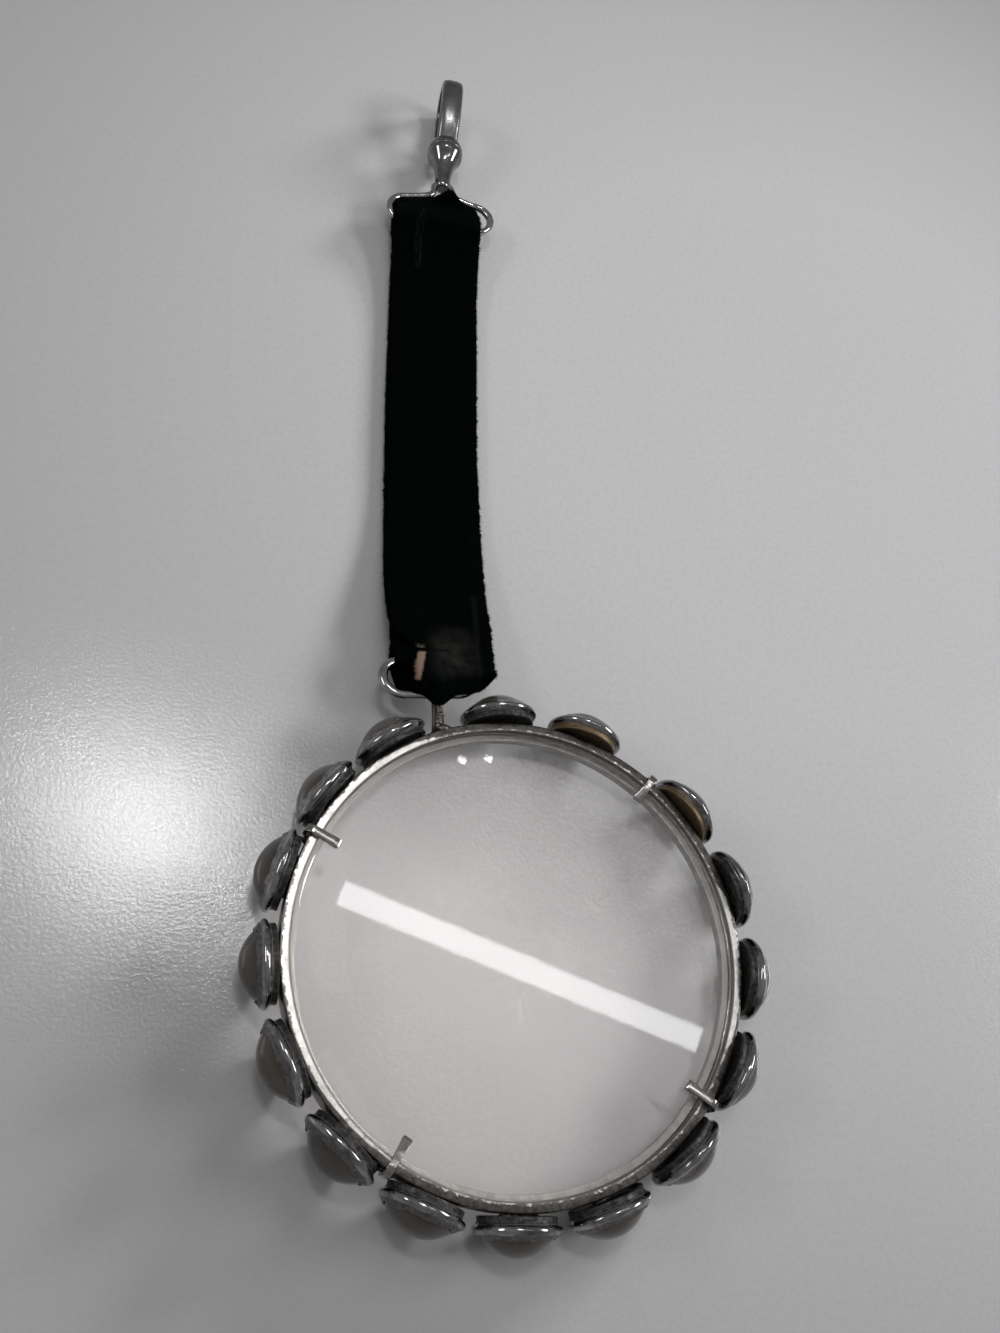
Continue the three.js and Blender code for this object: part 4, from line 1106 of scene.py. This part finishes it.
def build_ribbon():
    low = joint_pos("strap_swing") / MM
    high = joint_pos("stirrup_swing") / MM
    y0, z0, y1, z1 = low.y, low.z, high.y, high.z
    run = y1 - y0
    base, lift = 0.78, PLY / 2 + 0.05
    sag = [(0, z0, 1), (0.06, z0, 0.9), (0.16, z0, 0.45), (0.3, z0, 0.04), (0.5, z0, 0), (0.78, z1, 0.03),
           (0.9, z1, 0.4), (0.96, z1, 0.8), (1, z1, 1)]
    dense = catmull([vec(y0 + run * share, base + (bar - base) * k) for share, bar, k in sag], 16)

    def offset(sign):
        """One ply's line above or below the strap's middle, and clear of the wires at its two bars."""
        out = []
        for p, t in zip(dense, tangents(dense)):
            near = min(p.x - y0, y1 - p.x)
            spread = lift + (WIRE_R + 0.14 + PLY / 2 - lift) * max(0, 1 - near / 2.6) ** 1.5
            out.append(vec(p.x - t.y * spread * sign, p.y + t.x * spread * sign))
        return out

    def beside(y, z, table):
        return [vec(y + dy, z + dz) for dy, dz in table]

    def smooth(points):
        return even(catmull(resample(points, 0.7), 6), 0.2)

    def even(points, step):
        return [Vector((q.x, q.y)) for q in resample(points, step)]

    front, back = offset(1), offset(-1)
    split = [i for i, q in enumerate(front) if q.x >= y0 + run * 0.5][0]

    # Top fold: both plies rise past the bar between the shoulders and bulge over the wire at one place
    tip, gap, start = 4.4, 0.36, 1.2
    half = [(1.5, 0.72), (2.6, gap + 0.12), (tip - 0.5, gap), (tip - 0.1, gap * 0.6)]
    fold = beside(y1, z1, half + [(tip, 0)] + [(dy, -dz) for dy, dz in half[::-1]])

    def top_shape(v):
        if v.y > y1 + start:
            share = (v.y - y1 - start) / (tip - start)
            v.y = y1 + start + share * (between(v.x, TOP_REACH) - start)
        v.z += 1.35 * exp(-((v.x + 5.8) / 1.3) ** 2) * eased((v.y - y1 - 3.3) / 1.9)
        return v

    upper = smooth(front[split:] + fold + back[split:][::-1])
    high_piece = ribbon_ply("ribbon_high", upper, PLY, 11, EDGE_LEFT, EDGE_RIGHT, top_shape)

    def hang(table, nominal, eye_lift, droop):
        """Shapes a ply's end past the link: its reach, its rise over the eye and its droop at the right."""
        def shape(v):
            if v.y < y0 - 0.5:
                share = (y0 - 0.5 - v.y) / (nominal - 0.5)
                v.y = y0 - 0.5 - share * (between(v.x, table) - 0.5)
            beyond = eased((y0 - 1.4 - v.y) / 2.0)
            v.z += eye_lift * exp(-((v.x + 8.5) / 1.25) ** 2) * beyond
            v.z -= droop * eased((v.x + 4.5) / 1.2) * beyond
            return v
        return shape

    # The front ply with its flap over the link, the back ply under it, and the turn round the link's bar
    flap = beside(y0, z0, [(-4.7, 1.66), (-3.9, 1.74), (-2.6, 1.6), (-1.3, 1.25), (-0.5, 1.0)])
    under = beside(y0, z0, [(-4.0, -0.62), (-2.6, -0.78), (-1.2, -0.9)])
    turn_r = WIRE_R + 0.18
    turn = [(-turn_r * sin(t), turn_r * cos(t)) for t in (pi * i / 12 for i in range(13))]
    turn = beside(y0, z0, [(1.4, turn_r + 0.05)] + turn + [(1.4, -turn_r - 0.05)])
    front_ply = ribbon_ply("ribbon_front", smooth(flap + front[1:split + 1]), PLY, 3, EDGE_LEFT, EDGE_RIGHT,
                           hang(FLAP_REACH, 4.7, 0.8, 0.45), ((0, 1),))
    back_ply = ribbon_ply("ribbon_back", smooth(under + back[:split + 1]), PLY, 7, BACK_LEFT, BACK_RIGHT,
                          hang(BACK_REACH, 4.0, 0, 0), ((0, 1),))
    turn_ply = ribbon_ply("ribbon_turn", even(turn, 0.16), 0.24, 5, [(0, -5.6)], [(0, 0.8)], ends=None)
    for part, material in ((front_ply, WORN), (back_ply, VELVET), (turn_ply, VELVET), (high_piece, RUBBED)):
        part.data.materials.append(material)
    low_piece = merged("ribbon_low", [front_ply, back_ply, turn_ply])
    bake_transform(low_piece)
    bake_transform(high_piece)
    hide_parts("ribbon_strap")


# Stage: floor, light, camera, in metres

LAMP_Z = 0.6
LAMPS_AIM = vec(-0.005, -0.02)
SENSOR, FOCAL_PX, PHOTO_HEIGHT_PX = 36, 1100, 1333


def build_floor():
    bpy.ops.mesh.primitive_plane_add(size=6, location=(0, 0, -0.00002))
    floor = bpy.context.object
    floor.name = "floor"
    n = Nodes(bpy.data.materials.new("table_top"))
    at = n.coords()
    cloud = n.noise(at, 9, 3, 0.5)
    grain = n.noise(at, 2300, 3, 0.65)
    fleck = n.noise(at, 1500, 3, 0.7)
    away = n.add("VectorMath", i0=at, i1=(0.055, 0.03, 0))
    away.operation = "DISTANCE"
    # Painted light and shade on the table: bright round a point by the object, darker further out, a little
    # lighter again at the edge
    pale = n.ramp(n.fit(away.outputs["Value"], 0.0, 0.2), [
        (0.25, (0.54, 0.535, 0.545)), (0.45, (0.47, 0.465, 0.473)), (0.68, (0.355, 0.35, 0.357)),
        (0.9, (0.34, 0.336, 0.343)), (1.0, (0.40, 0.396, 0.403))])
    colour = n.mix(n.times(cloud, 0.25), pale, (0.40, 0.395, 0.405))
    colour = n.mix(n.fit(fleck, 0.4, 0.7, 0, 0.18), colour, (0.30, 0.29, 0.285))
    floor.data.materials.append(n.finish(Base_Color=colour, Roughness=0.15, Specular_IOR_Level=0.62,
                                         Normal=n.bump(grain, 0.6, 0.00004)))


def tube(name, a, b, width, watts, z=LAMP_Z, shiny=True):
    """A lamp from a to b that faces the lens."""
    a, b = Vector((*a, z)), Vector((*b, z))
    data = bpy.data.lights.new(name, "AREA")
    data.shape = "RECTANGLE"
    data.size, data.size_y = (b - a).length, width
    data.energy = watts
    lamp = linked(name, data)
    lamp.visible_glossy = shiny
    along = (b - a).normalized()
    middle = (a + b) / 2
    down = LAMPS_AIM - middle
    down = (down - along * down.dot(along)).normalized()
    lamp.matrix_world = standing(middle, along, (-down).cross(along), -down)


def build_stage():
    scene = bpy.context.scene
    build_floor()
    scene.world = bpy.data.worlds.new("room")
    n = Nodes(scene.world)
    glow = n.ramp(n.split(n.coords("Generated"))["Z"], [
        (0.0, (0.24, 0.24, 0.243)), (0.2, (0.19, 0.19, 0.193)), (0.6, (0.20, 0.20, 0.203)),
        (1.0, (0.30, 0.30, 0.304))])
    shade = n.add("Background", Color=glow, Strength=1.0)
    n.add("OutputWorld", i0=shade.outputs[0])

    tube("tube_right", (0.064, 0.098), (0.307, 0.007), 0.016, 0.13)
    tube("tube_far", (-0.12, 0.168), (0.005, 0.108), 0.044, 0.6)
    tube("spot_a", (0.143, 0.196), (0.149, 0.194), 0.004, 0.0016)
    tube("spot_b", (0.163, 0.198), (0.168, 0.196), 0.004, 0.0016)
    tube("fill_left", (-0.56, -0.05), (-0.52, 0.25), 0.11, 0.7, z=0.38)
    tube("fill_right", (0.62, -0.15), (0.64, 0.20), 0.14, 2.4, z=0.42)
    tube("fill_top", (1.10, 1.05), (1.35, 0.70), 0.3, 20.0, z=0.5, shiny=False)

    camera = linked("camera", bpy.data.cameras.new("camera"))
    camera.data.sensor_fit = "VERTICAL"
    camera.data.sensor_height = SENSOR
    camera.data.lens = SENSOR * FOCAL_PX / PHOTO_HEIGHT_PX
    camera.data.clip_start = 0.002
    right, down = vec(0.96155, -0.02998, 0.27297), vec(0.08929, -0.90588, -0.41402)
    ahead = vec(0.25969, 0.42247, -0.86837)
    spot = LENS @ vec(-34.574, -21.903, 112.489)
    camera.matrix_world = standing(spot, right, -down, -ahead)
    scene.camera = camera
    scene.view_settings.view_transform = "Standard"


build_ring()
build_lens()
for index, degrees in enumerate(STONE_ANGLES):
    build_setting(index + 1, degrees)
for index, degrees in enumerate(CLAW_ANGLES):
    build_claw(index + 1, degrees)
build_eye()
build_link()
build_stirrup()
build_shank()
build_hook()
build_gate()
build_ribbon()
build_stage()
